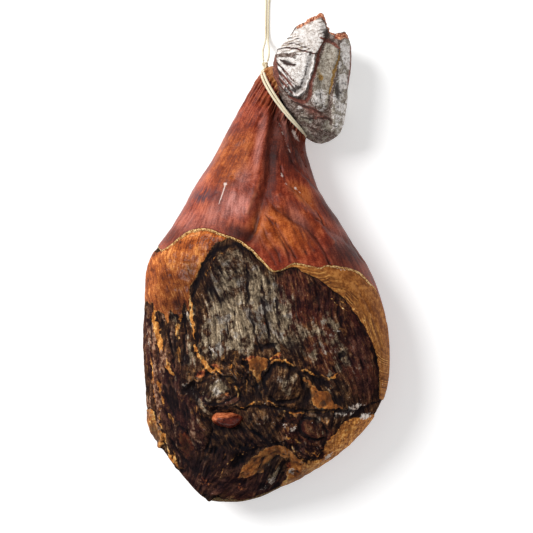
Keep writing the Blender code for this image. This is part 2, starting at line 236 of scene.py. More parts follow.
# Grooves of the cut face, painted dark with shade: half width, height, points.
GROOVES = (
    (3.4, -1.8, (
        (-5, -4), (-17, 10), (-28, 16), (-43, 17), (-55, 14), (-65, 10), (-72, 0), (-78, -14), (-84, -30),
        (-88, -44),
    )),
    (1.9, -1.6, ((-23, -4), (-22, -23), (-22, -44), (-19, -66), (-14, -85), (-10, -102))),
    (1.4, -1.1, ((-4, -31), (-1, -55), (1, -79), (5, -103))),
    (1.2, -0.9, ((11, -37), (13, -61), (17, -91))),
    (2.6, -3.4, (
        (-31, -180), (-5, -178), (19, -181), (43, -184), (67, -185), (95, -184), (119, -180), (138, -170),
    )),
    (1.8, -2.6, ((-64, -181), (-53, -178), (-36, -178), (-24, -182))),
    (1.7, -1.8, ((-65, -198), (-67, -217), (-73, -236), (-79, -248))),
    (4, -2.2, ((48, -137), (59, -145), (72, -149), (77, -155))),
    (1.8, -2.4, ((41, -203), (48, -212), (59, -218), (72, -215))),
    (2.4, -1.8, ((-10, -108), (2, -106), (12, -103))),
    (1.8, -1.6, ((-126, -144), (-121, -167), (-110, -193), (-96, -210))),
    (1.5, -1.4, ((-98, -64), (-98, -89), (-100, -112), (-103, -128))),
    (1.5, -1.4, ((-120, -85), (-115, -109), (-112, -131))),
    (1.3, -1.1, ((-140, -67), (-139, -97), (-136, -124))),
    (2, -1.8, ((-79, -138), (-65, -140), (-48, -143), (-35, -155), (-31, -169), (-42, -176))),
    (1.8, -2.2, ((-5, -136), (-5, -157), (0, -169))),
    (1.6, -1.6, ((73, -217), (77, -205), (85, -197))),
    (1.5, -1.3, ((36, -227), (47, -236), (61, -240), (70, -229))),
    (1.6, -1.5, ((-25, -199), (-10, -212), (5, -222), (22, -220))),
    (1.2, -1, ((-36, -220), (-31, -232))),
    (1.1, -1, ((-46, -188), (-48, -205))),
    (1.4, -1.2, ((-5, -49), (0, -71), (5, -97))),
    (1.8, -1.8, ((-84, -71), (-83, -88), (-84, -103))),
    (1.6, -1.6, ((-118, -217), (-108, -232), (-96, -248), (-84, -260))),
    (1.4, -1, (
        (77, -7), (90, -16), (103, -25), (115, -41), (125, -59), (133, -83), (139, -109), (140, -145),
    )),
    (1, -0.6, ((62, -20), (74, -26), (86, -35), (97, -44), (109, -58))),
    (0.9, -0.6, ((97, -38), (108, -48), (118, -64), (125, -80), (131, -100))),
    (1.2, -0.9, ((-124, 7), (-106, 20), (-89, 30), (-72, 34), (-53, 29))),
)
# Rounded muscles and hollows: centre u, v, half size u, v, turn in degrees, height.
MUSCLES = (
    (-42, -50, 24, 52, 8, 4), (-10, -52, 12, 46, 4, 3), (12, -60, 9, 40, 4, 1.6),
    (60, -75, 44, 52, 20, 3.4), (112, -110, 24, 60, 12, 2.4), (21, -150, 23, 24, 0, 6),
    (-55, -157, 24, 17, 12, 5), (-76, -178, 9, 10, 0, 4), (-64, -168, 8, 7, 20, 3),
    (-91, -160, 9, 13, 20, -7), (-98, -152, 5, 5, 0, 3), (-45, -176, 21, 6, 2, 6),
    (-46, -198, 22, 12, 0, -5), (-5, -205, 30, 18, -25, 4.5), (57, -206, 17, 13, -20, 5),
    (80, -202, 7, 9, 0, 3), (33, -206, 9, 7, 0, 3.5), (-4, -192, 16, 5, -10, 1.6),
    (7, -256, 14, 16, -30, 5), (50, -230, 16, 10, -20, 3), (40, -258, 18, 7, 28, 2.6),
    (-34, -246, 9, 9, 40, -6), (-100, -120, 8, 40, 4, 1.6), (-128, -150, 8, 40, 14, 1.6),
    (-98, -215, 14, 26, 20, 2.2), (-60, -260, 26, 22, 0, 2.5), (-62, -225, 14, 22, 0, -2),
    (94, -205, 12, 9, 20, -2), (-110, -20, 30, 34, 0, 2), (106, -181, 14, 6, 25, 2.6),
    (-130, -226, 5, 4, 0, 5), (-111, -252, 5, 4, 0, 4.5), (-69, -290, 5, 5, 0, 5),
    (-61, -292, 4, 6, 0, -6),
)
# Grey mould on the meat: centre u, v, half size u, v, turn in degrees, strength.
MOULD = (
    (-40, -30, 12, 24, 0, 0.7), (-34, -75, 13, 34, 10, 1), (-10, -52, 9, 36, 4, 1),
    (-64, -82, 14, 32, -10, 0.85), (7, -66, 8, 36, 4, 0.8), (-56, -108, 26, 8, -8, 1),
    (-68, -58, 8, 24, 0, 0.5), (22, -78, 9, 30, 4, 0.7), (53, -88, 14, 22, 0, 0.5),
    (74, -82, 14, 16, -50, 0.6), (60, -108, 20, 12, 0, 0.55), (84, -110, 26, 14, -55, 0.55),
    (21, -152, 15, 16, 0, 0.42), (-50, -152, 17, 12, 15, 0.85), (78, -145, 12, 10, -50, 0.6),
    (60, -206, 15, 10, -20, 0.5), (8, -264, 8, 13, -20, 0.7), (-15, -208, 26, 12, -30, 0.25),
    (-90, -66, 6, 9, 0, 0.9), (-96, -104, 6, 34, 0, 0.45), (-142, -92, 4, 36, 0, 0.3),
    (-112, -140, 6, 26, 10, 0.3), (-76, -172, 12, 12, 0, 0.7), (-5, -189, 22, 5, 0, 0.2),
    (-12, -128, 10, 6, 0, 0.35), (-124, -140, 5, 28, 10, 0.3), (60, -186, 44, 5, 0, 0.4),
    (-88, -118, 14, 10, 0, 0.5), (-88, -205, 10, 14, 0, 0.25), (104, -140, 14, 30, 8, 0.2),
    (-116, -60, 12, 22, 0, 0.35), (-45, -165, 14, 10, 0, 0.4),
)
# Hollows painted near black with shade: centre u, v, half size u, v, turn in degrees, strength.
PITS = (
    (-34, -246, 9, 7, 40, 1), (-90, -160, 10, 13, 20, 0.9), (-1, -106, 12, 4, 0, 0.8),
    (-100, -118, 5, 14, 0, 0.8), (-97, -224, 16, 26, 10, 0.5), (64, -147, 12, 6, -20, 0.9),
    (-46, -203, 22, 8, 0, 0.75), (-84, -252, 20, 22, -20, 0.5), (92, -114, 5, 4, 0, 1),
    (-8, -163, 7, 9, 0, 0.7), (72, -222, 6, 6, 0, 0.9), (-60, 16, 18, 6, 10, 0.4),
    (4, -276, 30, 8, 12, 0.4), (55, -252, 20, 6, 28, 0.45), (-66, -32, 10, 24, 8, 0.45),
    (33, -105, 14, 8, 0, 0.5), (-114, -165, 7, 30, 12, 0.6), (-98, -182, 10, 14, 0, 0.5),
    (-112, -100, 4, 26, 0, 0.6), (86, -168, 16, 8, 0, 0.5), (47, -168, 7, 10, -30, 0.6),
    (98, -206, 8, 7, 30, 0.5), (-58, -237, 12, 14, 0, 0.4), (-28, -166, 7, 12, 0, 0.5),
    (76, -190, 16, 3, 0, 0.6), (112, -186, 12, 4, 30, 0.9),
)
# Wine-red and maroon places: centre u, v, half size u, v, turn in degrees, strength.
WINE = (
    (35, -45, 24, 30, 0, 0.5), (70, -55, 22, 26, 0, 0.5), (112, -110, 18, 44, 12, 0.7),
    (120, -150, 16, 26, 0, 0.7), (50, -230, 18, 10, -20, 0.9), (44, -256, 20, 8, 28, 0.8),
    (-22, -278, 34, 12, 0, 0.9), (-95, -185, 12, 30, 14, 0.8), (-143, -110, 8, 44, 0, 0.6),
    (-76, -170, 11, 10, 0, 0.8), (-40, -168, 16, 7, 10, 0.8), (-60, -132, 12, 6, -20, 0.5),
    (-10, -262, 10, 16, 0, 0.9), (-60, -272, 26, 14, 0, 0.9), (-102, -170, 12, 18, 0, 0.7),
    (-126, -165, 8, 40, 12, 0.6), (106, -202, 6, 5, -30, 1), (-92, -13, 4, 10, -5, 1),
    (25, -24, 20, 8, 0, 0.5), (-118, -160, 24, 80, 10, 0.8), (-96, -220, 26, 44, 20, 0.85),
    (-84, -262, 34, 24, -30, 0.9), (-45, -245, 40, 26, 0, 0.65), (-20, -215, 44, 16, -20, 0.55),
    (10, -268, 40, 14, 10, 0.9), (-140, -100, 12, 60, 0, 0.9),
)
# Raw orange red places, pale cream places (some of them painted glints) and dry maroon places, in rows of
# the same kind.
RED = (
    (-60, -131, 10, 4, -30, 0.6), (-79, -138, 7, 4, 20, 0.9), (12, -117, 9, 3, 30, 1),
    (-14, -121, 14, 4, 0, 0.9), (-10, -240, 12, 6, 40, 0.5), (30, -250, 6, 8, -30, 0.6),
    (-97, -223, 9, 17, 10, 0.85), (-50, -165, 10, 4, 10, 0.4), (-76, -265, 20, 8, -30, 0.4),
    (0, -78, 3, 3, 0, 0.6), (28, -250, 4, 8, 20, 0.5), (-30, -276, 8, 6, 0, 0.4),
)
PALE_AND_GLINTS = (
    (106, -180, 12, 6, 28, 0.85), (92, -187, 8, 4, 0, 0.7), (34, -206, 6, 4, 30, 0.8),
    (22, -200, 8, 4, 0, 0.4), (74, -237, 8, 4, 35, 0.9), (122, -189, 8, 3, 25, 0.8),
    (-93, -219, 8, 4, -30, 0.45), (-75, -168, 7, 7, 20, 0.42), (-62, -150, 10, 7, 10, 0.35),
    (-99, -151, 4, 3, 0, 0.8), (-92, -160, 3, 4, 0, 0.6), (8, -266, 5, 7, -20, 0.9),
    (-1, -277, 6, 4, 20, 0.7), (-8, -196, 12, 4, 0, 0.15), (30, -256, 4, 3, 40, 0.7),
    (-97, -66, 4, 5, 0, 0.7), (-100, -118, 2, 3, 0, 0.8), (86, -87, 12, 2, -5, 0.6),
    (-144, -88, 1.6, 14, 0, 0.4), (-124, 16, 4, 3, 30, 0.8), (60, -198, 10, 4, -10, 0.35),
    (62, -229, 6, 3, 0, 0.5), (-68, -107, 6, 10, 20, 0.45), (88, -10, 16, 3, -6, 0.5),
)
MAROON = (
    (35, -50, 26, 40, 0, 1), (66, -55, 24, 36, 0, 0.9), (112, -110, 26, 70, 12, 0.9),
    (75, -110, 40, 50, 0, 0.6), (-100, -120, 10, 60, 0, 0.4), (60, -220, 60, 30, -20, 0.7),
    (-95, -200, 20, 50, 15, 0.8), (-20, -275, 50, 22, 0, 0.8), (20, -70, 20, 40, 0, 0.4),
)
# Torn and lumpy places, and places with thin fat veins, in rows of the same kind.
TORN = (
    (-40, -140, 52, 26, 0, 1), (20, -128, 44, 16, 0, 0.6), (-78, -160, 30, 34, 0, 1),
    (30, -195, 66, 16, 0, 0.9), (-30, -225, 70, 30, 10, 0.45), (40, -232, 52, 26, -15, 0.9),
    (-5, -262, 60, 22, 0, 0.4), (-92, -225, 26, 34, 20, 0.4), (60, -155, 30, 16, -20, 0.6),
    (-116, -110, 34, 60, 6, 0.35),
)
VEINED = (
    (-120, -120, 44, 80, 8, 0.5), (-95, -215, 40, 60, 20, 0.3), (50, -150, 60, 34, -20, 0.6),
    (90, -90, 50, 50, 0, 0.3),
)
# Places where the fibres form long bands.
BANDED = ((-122, -130, 36, 90, 8, 1.0), (-95, -230, 30, 50, 24, 0.8), (-20, -250, 60, 20, 30, 0.5))
# Round sunk borders, painted dark with shade: centre u, v, half size u, v, turn in degrees, width, height.
RINGS = (
    (21, -150, 23, 23.5, 0, 2.6, -3.6), (-57, -157, 24, 16, 12, 1.8, -1.8),
    (57, -206, 17, 12, -20, 1.6, -1.8),
)
# Lighter and darker places: centre u, v, half size u, v, turn in degrees, how much.
FACE_TONES = (
    (-85, 22, 40, 12, 22, 0.35), (-135, -10, 12, 40, 0, 0.15), (-93, -12, 6, 12, 0, -0.45),
    (-70, 8, 8, 22, 30, -0.25), (-115, -62, 26, 14, 0, -0.35), (-56, -32, 14, 22, 10, -0.4),
    (95, -30, 26, 12, -35, -0.08), (120, -50, 14, 40, 30, -0.04), (-20, -240, 60, 30, 0, -0.35),
    (60, -150, 60, 30, 0, -0.2), (-110, -200, 30, 40, 14, -0.35), (-60, -275, 40, 20, 0, -0.4),
    (30, -268, 40, 14, 20, -0.3), (-20, -200, 50, 16, 0, -0.25), (66, -40, 40, 22, -20, -0.15),
    (-106, -36, 34, 30, 0, -0.45), (-140, -20, 10, 40, 0, 0.25), (-86, -12, 8, 20, -8, -0.2),
    (-30, -75, 24, 34, 6, 0.2), (-64, -84, 12, 24, 0, 0.15), (21, -150, 17, 17, 0, 0.1),
    (-12, -142, 12, 24, 0, -0.5), (106, -212, 30, 30, -40, 0.15), (-40, -225, 60, 26, 0, -0.35),
    (4, -250, 34, 22, 20, -0.25), (-52, -14, 12, 22, 0, -0.2), (-132, -100, 14, 44, 4, 0.05),
    (-104, -60, 8, 24, 0, -0.2),
)

# Which way the meat's fibres run: u, v, degrees from the u axis.
FIBRES = (
    (-49, -37, 100), (-31, -85, 108), (-13, -49, 96), (-61, -85, 80), (5, -73, 100), (41, -49, 92),
    (71, -49, 92), (65, -97, 115), (89, -109, 125), (101, -145, 115), (119, -97, 106), (125, -145, 93),
    (134, -169, 85), (77, -139, 130), (23, -151, 60), (-139, -97, 88), (-115, -109, 95), (-97, -109, 95),
    (-139, -157, 102), (-121, -193, 108), (-103, -229, 115), (-115, -169, 100), (-127, -13, 100),
    (-103, 10, 55), (-85, -1, 68), (-115, -37, 105), (-67, -151, 35), (-43, -151, -30), (-1, -205, 140),
    (-55, -217, 120), (-67, -241, 70), (-13, -247, 40), (47, -235, 160), (89, -217, 60), (101, -205, 60),
    (-43, -277, 10), (5, -265, 75), (65, -247, 30), (-60, 22, 20), (-20, 10, -40), (80, -20, -20),
    (130, -60, -62), (146, -120, -88),
)

# Folds and creases of the rind: half width, height, points. The narrower ones are painted with shade along
# them.
FOLDS = (
    (10, -4.2, ((12, 200), (9, 167), (5, 131), (1, 95), (-7, 62), (-20, 24))),
    (5.4, -2, ((12, 192), (9, 160), (5, 125), (1, 90), (-7, 60), (-16, 34))),
    (6, 2.8, ((4, 181), (-2, 143), (-7, 113), (-12, 84), (-22, 56))),
    (9, 1.8, ((-14, 150), (-24, 118), (-36, 86), (-48, 62))),
    (7, -1.4, ((-5, 172), (-14, 134), (-26, 100), (-34, 84))),
    (6.5, 3.2, ((18, 181), (24, 149), (34, 121), (45, 97), (63, 71), (89, 41), (110, 17))),
    (2, -2.1, ((15, 171), (22, 146), (30, 121), (40, 104))),
    (2.4, -2, ((22, 178), (31, 150), (40, 128), (48, 112))),
    (2.2, -2.4, ((18, 112), (26, 92), (41, 76), (53, 64), (68, 41))),
    (2.8, -2.4, ((31, 118), (52, 92), (67, 71), (86, 47), (103, 23), (118, 0))),
    (3.6, -3.2, ((2, 76), (12, 61), (23, 52), (37, 44), (53, 32), (65, 17), (76, -4))),
    (6, 2.4, ((14, 76), (28, 64), (45, 55), (62, 42), (80, 20))),
    (5, 1.6, ((8, 50), (24, 40), (40, 26), (54, 8))),
    (1.9, -1.5, ((0, 54), (14, 32), (24, 10), (29, -3))),
    (1.7, -1.2, ((-5, 40), (7, 18), (17, -4))),
    (2, -1.6, ((11, 44), (23, 23), (36, 1))),
    (1.6, -1, ((-8, 26), (2, 8), (10, -8))),
    (1.8, -1.2, ((30, 40), (40, 22), (48, 4))),
    (2.4, -1.5, ((58, 46), (79, 35), (101, 19), (120, -4))),
    (5, -1.4, ((-40, 98), (-24, 92), (-8, 105))),
    (5, -1.6, ((-50, 108), (-40, 126), (-24, 140))),
    (2.6, -1.4, ((28, 164), (36, 146), (44, 128))),
    (5, 1.6, ((6, 30), (22, 6), (34, -4))),
    (4.4, 1.4, ((16, 62), (32, 36), (44, 10))),
    (5, -1, ((-98, 40), (-84, 62), (-70, 82))),
)
# Where the rind ends at the neck: turn round the leg in radians, station.
RIND_END = (
    (-0.5, 15), (-0.1, 14.2), (0.4, 13.9), (0.8, 13.74), (1.2, 13.64), (1.57, 13.6), (1.8, 13.8),
    (2, 14.1), (2.3, 14.35), (2.7, 14.6), (3.1, 15), (5.6, 15),
)
PLEATS = 44  # fine folds that run into the string, for each radian of the neck
PLEAT_DEPTH = 2.8
# Places of the rind: tan; dark, from maroon skin and from painted shade in the valley, the folds and
# above the rind's edge; with a painted pale sheen; and how much lighter or darker it is, which holds
# painted shade and painted sheen too. Each row has centre u, v, half size u, v, turn in degrees and
# strength.
RIND_TAN = (
    (25, 36, 44, 32, -20, 1), (-34, 128, 16, 50, -24, 0.75), (45, 74, 10, 30, 40, 0.7),
    (-60, 70, 30, 24, 0, 0.3), (-96, 30, 20, 16, 0, 0.2), (-4, 190, 10, 14, 0, 0.5),
)
RIND_DARK_AND_SHADE = (
    (9, 140, 11, 62, -5, 1), (28, 140, 18, 46, 12, 0.9), (2, 76, 10, 34, -14, 0.5),
    (96, 8, 26, 30, 40, 0.8), (-112, 28, 20, 14, 30, 0.5), (-30, 30, 24, 10, -18, 0.65),
    (-70, 42, 20, 6, 10, 0.3), (74, 56, 10, 34, 40, 0.7), (60, 100, 10, 40, 30, 0.8),
    (-20, 130, 12, 12, 0, 0.3), (30, 84, 12, 16, 20, 0.3),
)
RIND_PAINTED_SHEEN = (
    (-36, 66, 17, 15, -24, 0.8), (-8, 140, 4.5, 34, -8, 0.6), (-64, 54, 20, 13, 30, 0.45),
    (-28, 96, 8, 18, -24, 0.45), (-92, 44, 14, 14, 30, 0.35), (38, 50, 18, 6, -50, 0.35),
    (86, 26, 14, 8, -50, 0.35), (-84, 92, 7, 60, -30, 0.25), (22, 164, 3, 20, 14, 0.3),
)
RIND_TONES_SHADE_AND_SHEEN = (
    (9, 140, 10, 62, -5, -0.3), (30, 140, 18, 44, 12, -0.3), (25, 36, 36, 28, -20, 0.15),
    (100, 5, 26, 26, 40, -0.2), (-112, 28, 20, 14, 30, -0.2), (-28, 132, 14, 44, -24, 0.1),
    (-26, 30, 26, 11, -16, -0.58), (-90, 90, 22, 90, -28, 0.35), (-36, 66, 16, 20, -20, 0.3),
    (-34, 128, 18, 40, -24, -0.15), (-52, 62, 12, 20, -24, -0.1), (2, 146, 5, 40, -6, 0.25),
)
# Pale scratches and flecks of salt on the rind, as strokes (half width, strength, points)
# and spots. The flaky ones are broken up.
SCRATCHES = ((0.9, 0.9, ((-48, 92), (-52, 80), (-57, 66))),)
FLAKY_SCRATCHES = (
    (2.2, 0.9, ((18, 104), (22, 94), (28, 85))),
    (0.8, 0.8, ((36, 84), (44, 76), (54, 66))),
    (1, 0.8, ((14, 172), (20, 152), (26, 133), (33, 118))),
    (2.6, 0.9, ((30, 162), (34, 152), (40, 142))),
)
SALT_SPOTS = ((-49, 90, 2.4, 2.4, 30, 1), (35, 85, 2.4, 1.4, -50, 0.9))
# A violet smudge: centre u, v, half size u, v and turn in degrees.
SMUDGE = (-76, 77, 14, 9, 22)

# The hock's outlines, and its folds, ridges and torn skin: half width, strength, points.
HOCK_FACE = (
    (12, 246), (20, 258), (30, 270), (40, 282), (54, 289), (66, 289), (72, 276), (69, 262), (62, 250),
    (50, 245), (30, 246),
)
HOCK_RECESS = (
    (12, 242), (30, 243), (54, 248), (60, 236), (54, 214), (48, 200), (38, 192), (24, 200), (15, 218),
)
HOCK_MIDDLE = (
    (72, 262), (86, 254), (84, 234), (79, 212), (77, 194), (72, 180), (60, 184), (55, 194), (57, 214),
    (64, 240),
)
HOCK_RIGHT = ((88, 258), (110, 270), (110, 145), (84, 145), (78, 175), (80, 200), (86, 235))
HOCK_FOLDS = (
    (1.3, 0.9, ((14, 250), (26, 253), (41, 250), (54, 247), (62, 247))),
    (1, 0.7, ((14, 256), (28, 258), (42, 255), (52, 252))),
    (0.9, 0.5, ((18, 262), (32, 264), (46, 262))),
    (2, 0.8, ((19, 238), (27, 234), (36, 232))),
    (1.2, 0.7, ((13, 236), (22, 226), (30, 214), (38, 207))),
    (1.2, 0.7, ((14, 228), (22, 216), (30, 206))),
    (1.1, 0.6, ((16, 218), (24, 206), (32, 198))),
    (1.5, 0.7, ((30, 190), (44, 184), (56, 180), (66, 176))),
    (1.1, 0.7, ((42, 172), (56, 169), (70, 170), (80, 166))),
    (1.1, 0.6, ((48, 160), (60, 156), (76, 154))),
    (1, 0.5, ((97, 226), (96, 206), (93, 186), (90, 168))),
)
HOCK_TORN = (
    (4.6, 1, ((38, 277), (46, 284), (56, 290), (66, 294), (71, 288))),
    (2.6, 1, ((71, 290), (74, 282), (77, 273), (83, 268))),
    (4, 1, ((84, 265), (93, 268), (102, 266))),
)
HOCK_RIDGE = (2.2, 1, (
    (71, 264), (65, 252), (62, 238), (58, 224), (54, 212), (53, 200), (48, 190), (38, 190), (27, 195),
))
HOCK_RIM = (3, 1, ((56, 250), (55, 238), (52, 226), (49, 214), (45, 204), (36, 198), (28, 202)))
HOCK_OCHRE = (1.5, 1, ((88, 250), (86, 240), (82, 226), (79, 212), (76, 198)))
HOCK_TOP_EDGE = (2.6, 1, ((66, 266), (72, 263), (80, 259), (89, 252)))
HOCK_RIGHT_EDGE = (2.6, 1, ((102, 266), (103, 250), (102, 232), (100, 216), (99, 200)))
# Its other places: centre u, v, half size u, v, turn in degrees, and strength except in the fan.
HOCK_FAN = (21, 214, 13, 21, 40)
HOCK_NET = (31, 204, 12, 8, 10, 1)
HOCK_STIPPLE = (66, 192, 12, 12, 0, 1)
HOCK_WHITE = (64, 193, 10, 13, -10, 0.9)
HOCK_CREST = (41, 182, 7, 4, 20, 0.6)
HOCK_GREY = (66, 152, 26, 16, -10, 0.9)
HOCK_STAINS = ((65, 217, 4, 4, 0, 0.9), (62, 226, 6, 8, 0, 0.45))
HOCK_LEFT_FLANK = (12, 224, 4.5, 26, 6, 0.8)
HOCK_LOW_FLANK = (58, 176, 22, 7, -24, 0.55)
HOCK_DARK = (
    (26, 235, 6, 3, -10, 0.9), (34, 204, 8, 6, 20, 0.35), (72, 270, 4, 8, 20, 0.9),
    (78, 262, 6, 3, -30, 0.6), (40, 178, 10, 7, -20, 0.3), (52, 168, 14, 6, 0, 0.3),
    (92, 236, 5, 10, 10, 0.25), (86, 202, 3.6, 12, 8, 0.95), (86, 204, 8, 18, 8, 0.35),
)

STRING = 2.6  # its diameter
STRING_SPACING = STRING + 0.4  # between the two turns round the neck
LOOP_SAG = -9.0  # on the upper side, along the leg
LOOP_CLEARANCE = 0.8  # between the string and the plain leg
LOOP_POINTS = 60  # in each turn
LOOP_RADIUS = 1.55
ROPE_SIDES = 14
ROPE_STEP = 0.7  # between rings of points
ROPE_PITCH = 9.0  # length of one turn of a strand
KNOT_OFFSET = (-0.4, 4.4, 1.2)  # from the middle of the loop's two ends
KNOT_SIZE = (3.1, 3.5, 2.0)  # half sizes
KNOT_RADIUS = 1.25  # of its string, drawn tight
# The tail's route: out of the knot, down to the surface, round the bight and back.
TAIL_ROUTE = (
    (-3, 241.6, 43.5), (-3.7, 249, 39.5), (-3.6, 256, 31), (-2.6, 262, 21), (-1.4, 267, 12),
    (-0.6, 273, 4.8), (-0.3, 281, 1.7), (-0.2, 300, 1.4), (0.2, 318, 1.4), (-0.2, 328, 1.4),
    (-1.6, 336, 1.4), (-3.6, 343, 1.4), (-4.4, 350, 1.4), (-2.1, 355.5, 1.4), (3.4, 357.8, 1.4),
    (8.9, 355.5, 1.4), (11.2, 350, 1.4), (10.4, 343, 1.4), (8, 336, 1.4), (5.4, 328, 1.4),
    (3.6, 318, 1.4), (2.9, 300, 1.4), (2.8, 281, 1.7), (2.6, 273, 4.8), (2.7, 267, 12), (3.3, 262, 21),
    (3.8, 256, 31), (3.5, 249, 39.5), (2, 241.6, 43.5),
)


# ---------------------------------------------------------------- shapes as arrays

LATTICE_SIZE = 48
LATTICE = np.random.default_rng(11).uniform(-1, 1, (LATTICE_SIZE,) * 3)
TILT = np.array([(0.8, 0.36, -0.48), (-0.6, 0.48, -0.64), (0.0, 0.8, 0.6)])  # a rotation
SEED_SHIFT = 7.31  # how far apart the noises of two seeds lie in the lattice


def noise(points, size, seed=0):
    """Smooth noise from -1 to 1 at points (n, 3), with lumps of the given size (or sizes)."""
    place = (points / np.asarray(size, float)) @ TILT + seed * SEED_SHIFT
    base = np.floor(place).astype(int)
    part = place - base
    part = part * part * (3 - 2 * part)
    total = np.zeros(len(points))
    for corner in product((0, 1), repeat=3):
        weight = np.prod(np.where(corner, part, 1 - part), axis=1)
        i, j, k = ((base + corner) % LATTICE_SIZE).T
        total += weight * LATTICE[i, j, k]
    return total


def rough(points, size, octaves=4, seed=0):
    """Noise with finer and finer lumps added, from about -1 to 1."""
    total, weight = np.zeros(len(points)), 1.0
    for octave in range(octaves):
        total += weight * noise(points, np.asarray(size) / 2**octave, seed + octave)
        weight *= 0.55
    return total


def ridged(points, size, seed, octaves=3):
    """Noise with sharp crests, up to 1 on them and down to about -1 between them."""
    total, weight = np.zeros(len(points)), 1.0
    for octave in range(octaves):
        total += weight * (1 - 3.0 * np.abs(noise(points, np.asarray(size) / 2**octave, seed + octave)))
        weight *= 0.5
    return total / 1.6


def cracks(points, size, seed):
    """1 on thin lines that wander between lumps of the given size."""
    return 1 - ease(np.abs(noise(points, size, seed)), 0.04, 0.26)


def streaks(points, direction, length, size, seed=0):
    """Noise drawn out along a direction, which may change from point to point."""
    total = np.zeros(len(points))
    for step in np.linspace(-1, 1, 9):
        total += noise(points + direction * step * length, size, seed) * (1 - 0.5 * abs(step))
    return total / 3.6


def ease(value, low, high):
    """0 below low and 1 above high, with a smooth step between."""
    share = np.clip((value - low) / (high - low), 0, 1)
    return share * share * (3 - 2 * share)


def smooth_through(rows, t):
    """A Catmull-Rom curve through the rows at the places t. Row 0 only gives a slope."""
    rows = np.asarray(rows, float)
    rows = np.vstack([rows, 2 * rows[-1] - rows[-2]])
    i = np.clip(np.floor(t).astype(int), 0, len(rows) - 4)
    f = (t - i)[..., None]
    before, here, after, beyond = (rows[i + k] for k in range(4))
    return 0.5 * (
        2 * here
        + (after - before) * f
        + (2 * before - 5 * here + 4 * after - beyond) * f**2
        + (3 * here - before - 3 * after + beyond) * f**3
    )


def smooth_path(points, parts=5):
    """The points of a smooth curve through a short list of points."""
    points = np.asarray(points, float)
    rows = np.vstack([2 * points[0] - points[1], points])
    t = np.linspace(0, len(points) - 1, parts * (len(points) - 1) + 1)
    return smooth_through(rows, t)


def along(table, at, blur):
    """A value read from a table of (place, value) rows, with its corners rounded off."""
    places, values = np.array(table, float).T
    return np.mean([np.interp(at + blur * k, places, values) for k in np.linspace(-1, 1, 9)], axis=0)


def distance_to(u, v, path):
    """(distance, place along from 0 to 1) of the points from a line, seen from above."""
    best, place = np.full(u.shape, 1e6), np.zeros(u.shape)
    count = len(path) - 1
    for k in range(count):
        (au, av), (bu, bv) = path[k], path[k + 1]
        du, dv = bu - au, bv - av
        f = np.clip(((u - au) * du + (v - av) * dv) / (du * du + dv * dv), 0, 1)
        distance = np.hypot(u - au - f * du, v - av - f * dv)
        closer = distance < best
        best = np.where(closer, distance, best)
        place = np.where(closer, (k + f) / count, place)
    return best, place


def stroke(u, v, half_width, points):
    """1 on the middle of a path, falling to 0 past its edges, and narrowing at its two ends."""
    path = smooth_path(points)
    low, high = path.min(axis=0) - 3 * half_width, path.max(axis=0) + 3 * half_width
    near = np.flatnonzero((u > low[0]) & (u < high[0]) & (v > low[1]) & (v < high[1]))
    value = np.zeros(u.shape)
    distance, place = distance_to(u[near], v[near], path)
    width = half_width * (0.45 + 0.55 * np.clip(4 * np.minimum(place, 1 - place), 0, 1))
    value[near] = np.exp(-((distance / width) ** 2) * 0.9)
    return value


def in_ellipse(u, v, centre_u, centre_v, half_u, half_v, turn):
    """Places across and up in an ellipse, where its line is 1 away from the middle."""
    c, s = math.cos(math.radians(turn)), math.sin(math.radians(turn))
    across = ((u - centre_u) * c + (v - centre_v) * s) / half_u
    up = (-(u - centre_u) * s + (v - centre_v) * c) / half_v
    return across, up


def blob(u, v, centre_u, centre_v, half_u, half_v, turn, power=2.0):
    """1 at an ellipse's middle, falling to 0 past its edge."""
    across, up = in_ellipse(u, v, centre_u, centre_v, half_u, half_v, turn)
    return np.exp(-((across**2 + up**2) ** (power / 2)))


def ring(u, v, centre_u, centre_v, half_u, half_v, turn, width):
    """1 on an ellipse's line, falling to 0 on both sides of it."""
    off = np.hypot(*in_ellipse(u, v, centre_u, centre_v, half_u, half_v, turn)) - 1
    return np.exp(-((off * math.sqrt(half_u * half_v) / width) ** 2))


def spread(u, v, table, power=2.6):
    """The strongest of a table's blobs at each point."""
    return np.maximum.reduce([0 * u] + [strength * blob(u, v, *place, power) for *place, strength in table])


def summed(u, v, table, power=2.0):
    """A table's blobs added up at each point."""
    return sum(strength * blob(u, v, *place, power) for *place, strength in table)


def strokes(u, v, table):
    """The strongest of a table's strokes at each point."""
    return np.maximum.reduce([strength * stroke(u, v, width, path) for width, strength, path in table])


def depth_inside(u, v, outline):
    """How far the points lie inside a closed outline, negative outside."""
    path = smooth_path([*outline, outline[0]], 3)
    distance, _ = distance_to(u, v, path)
    inside = np.zeros(u.shape, bool)
    for (au, av), (bu, bv) in zip(path, path[1:]):
        if av == bv:
            continue
        crosses = (av > v) != (bv > v)
        inside ^= crosses & (u < au + (v - av) * (bu - au) / (bv - av))
    return np.where(inside, distance, -distance)


def seen_from_above(points):
    """Where the camera sees the points on the level plane."""
    scale = CAMERA_ABOVE / (CAMERA_ABOVE + LEVEL - points[:, 2])
    return CAMERA_X + (points[:, 0] - CAMERA_X) * scale, CAMERA_Y + (points[:, 1] - CAMERA_Y) * scale


def flat_points(u, v):
    """Points of the level plane, for noise that doesn't change with height."""
    return np.stack([u, v, np.zeros_like(u)], axis=1)


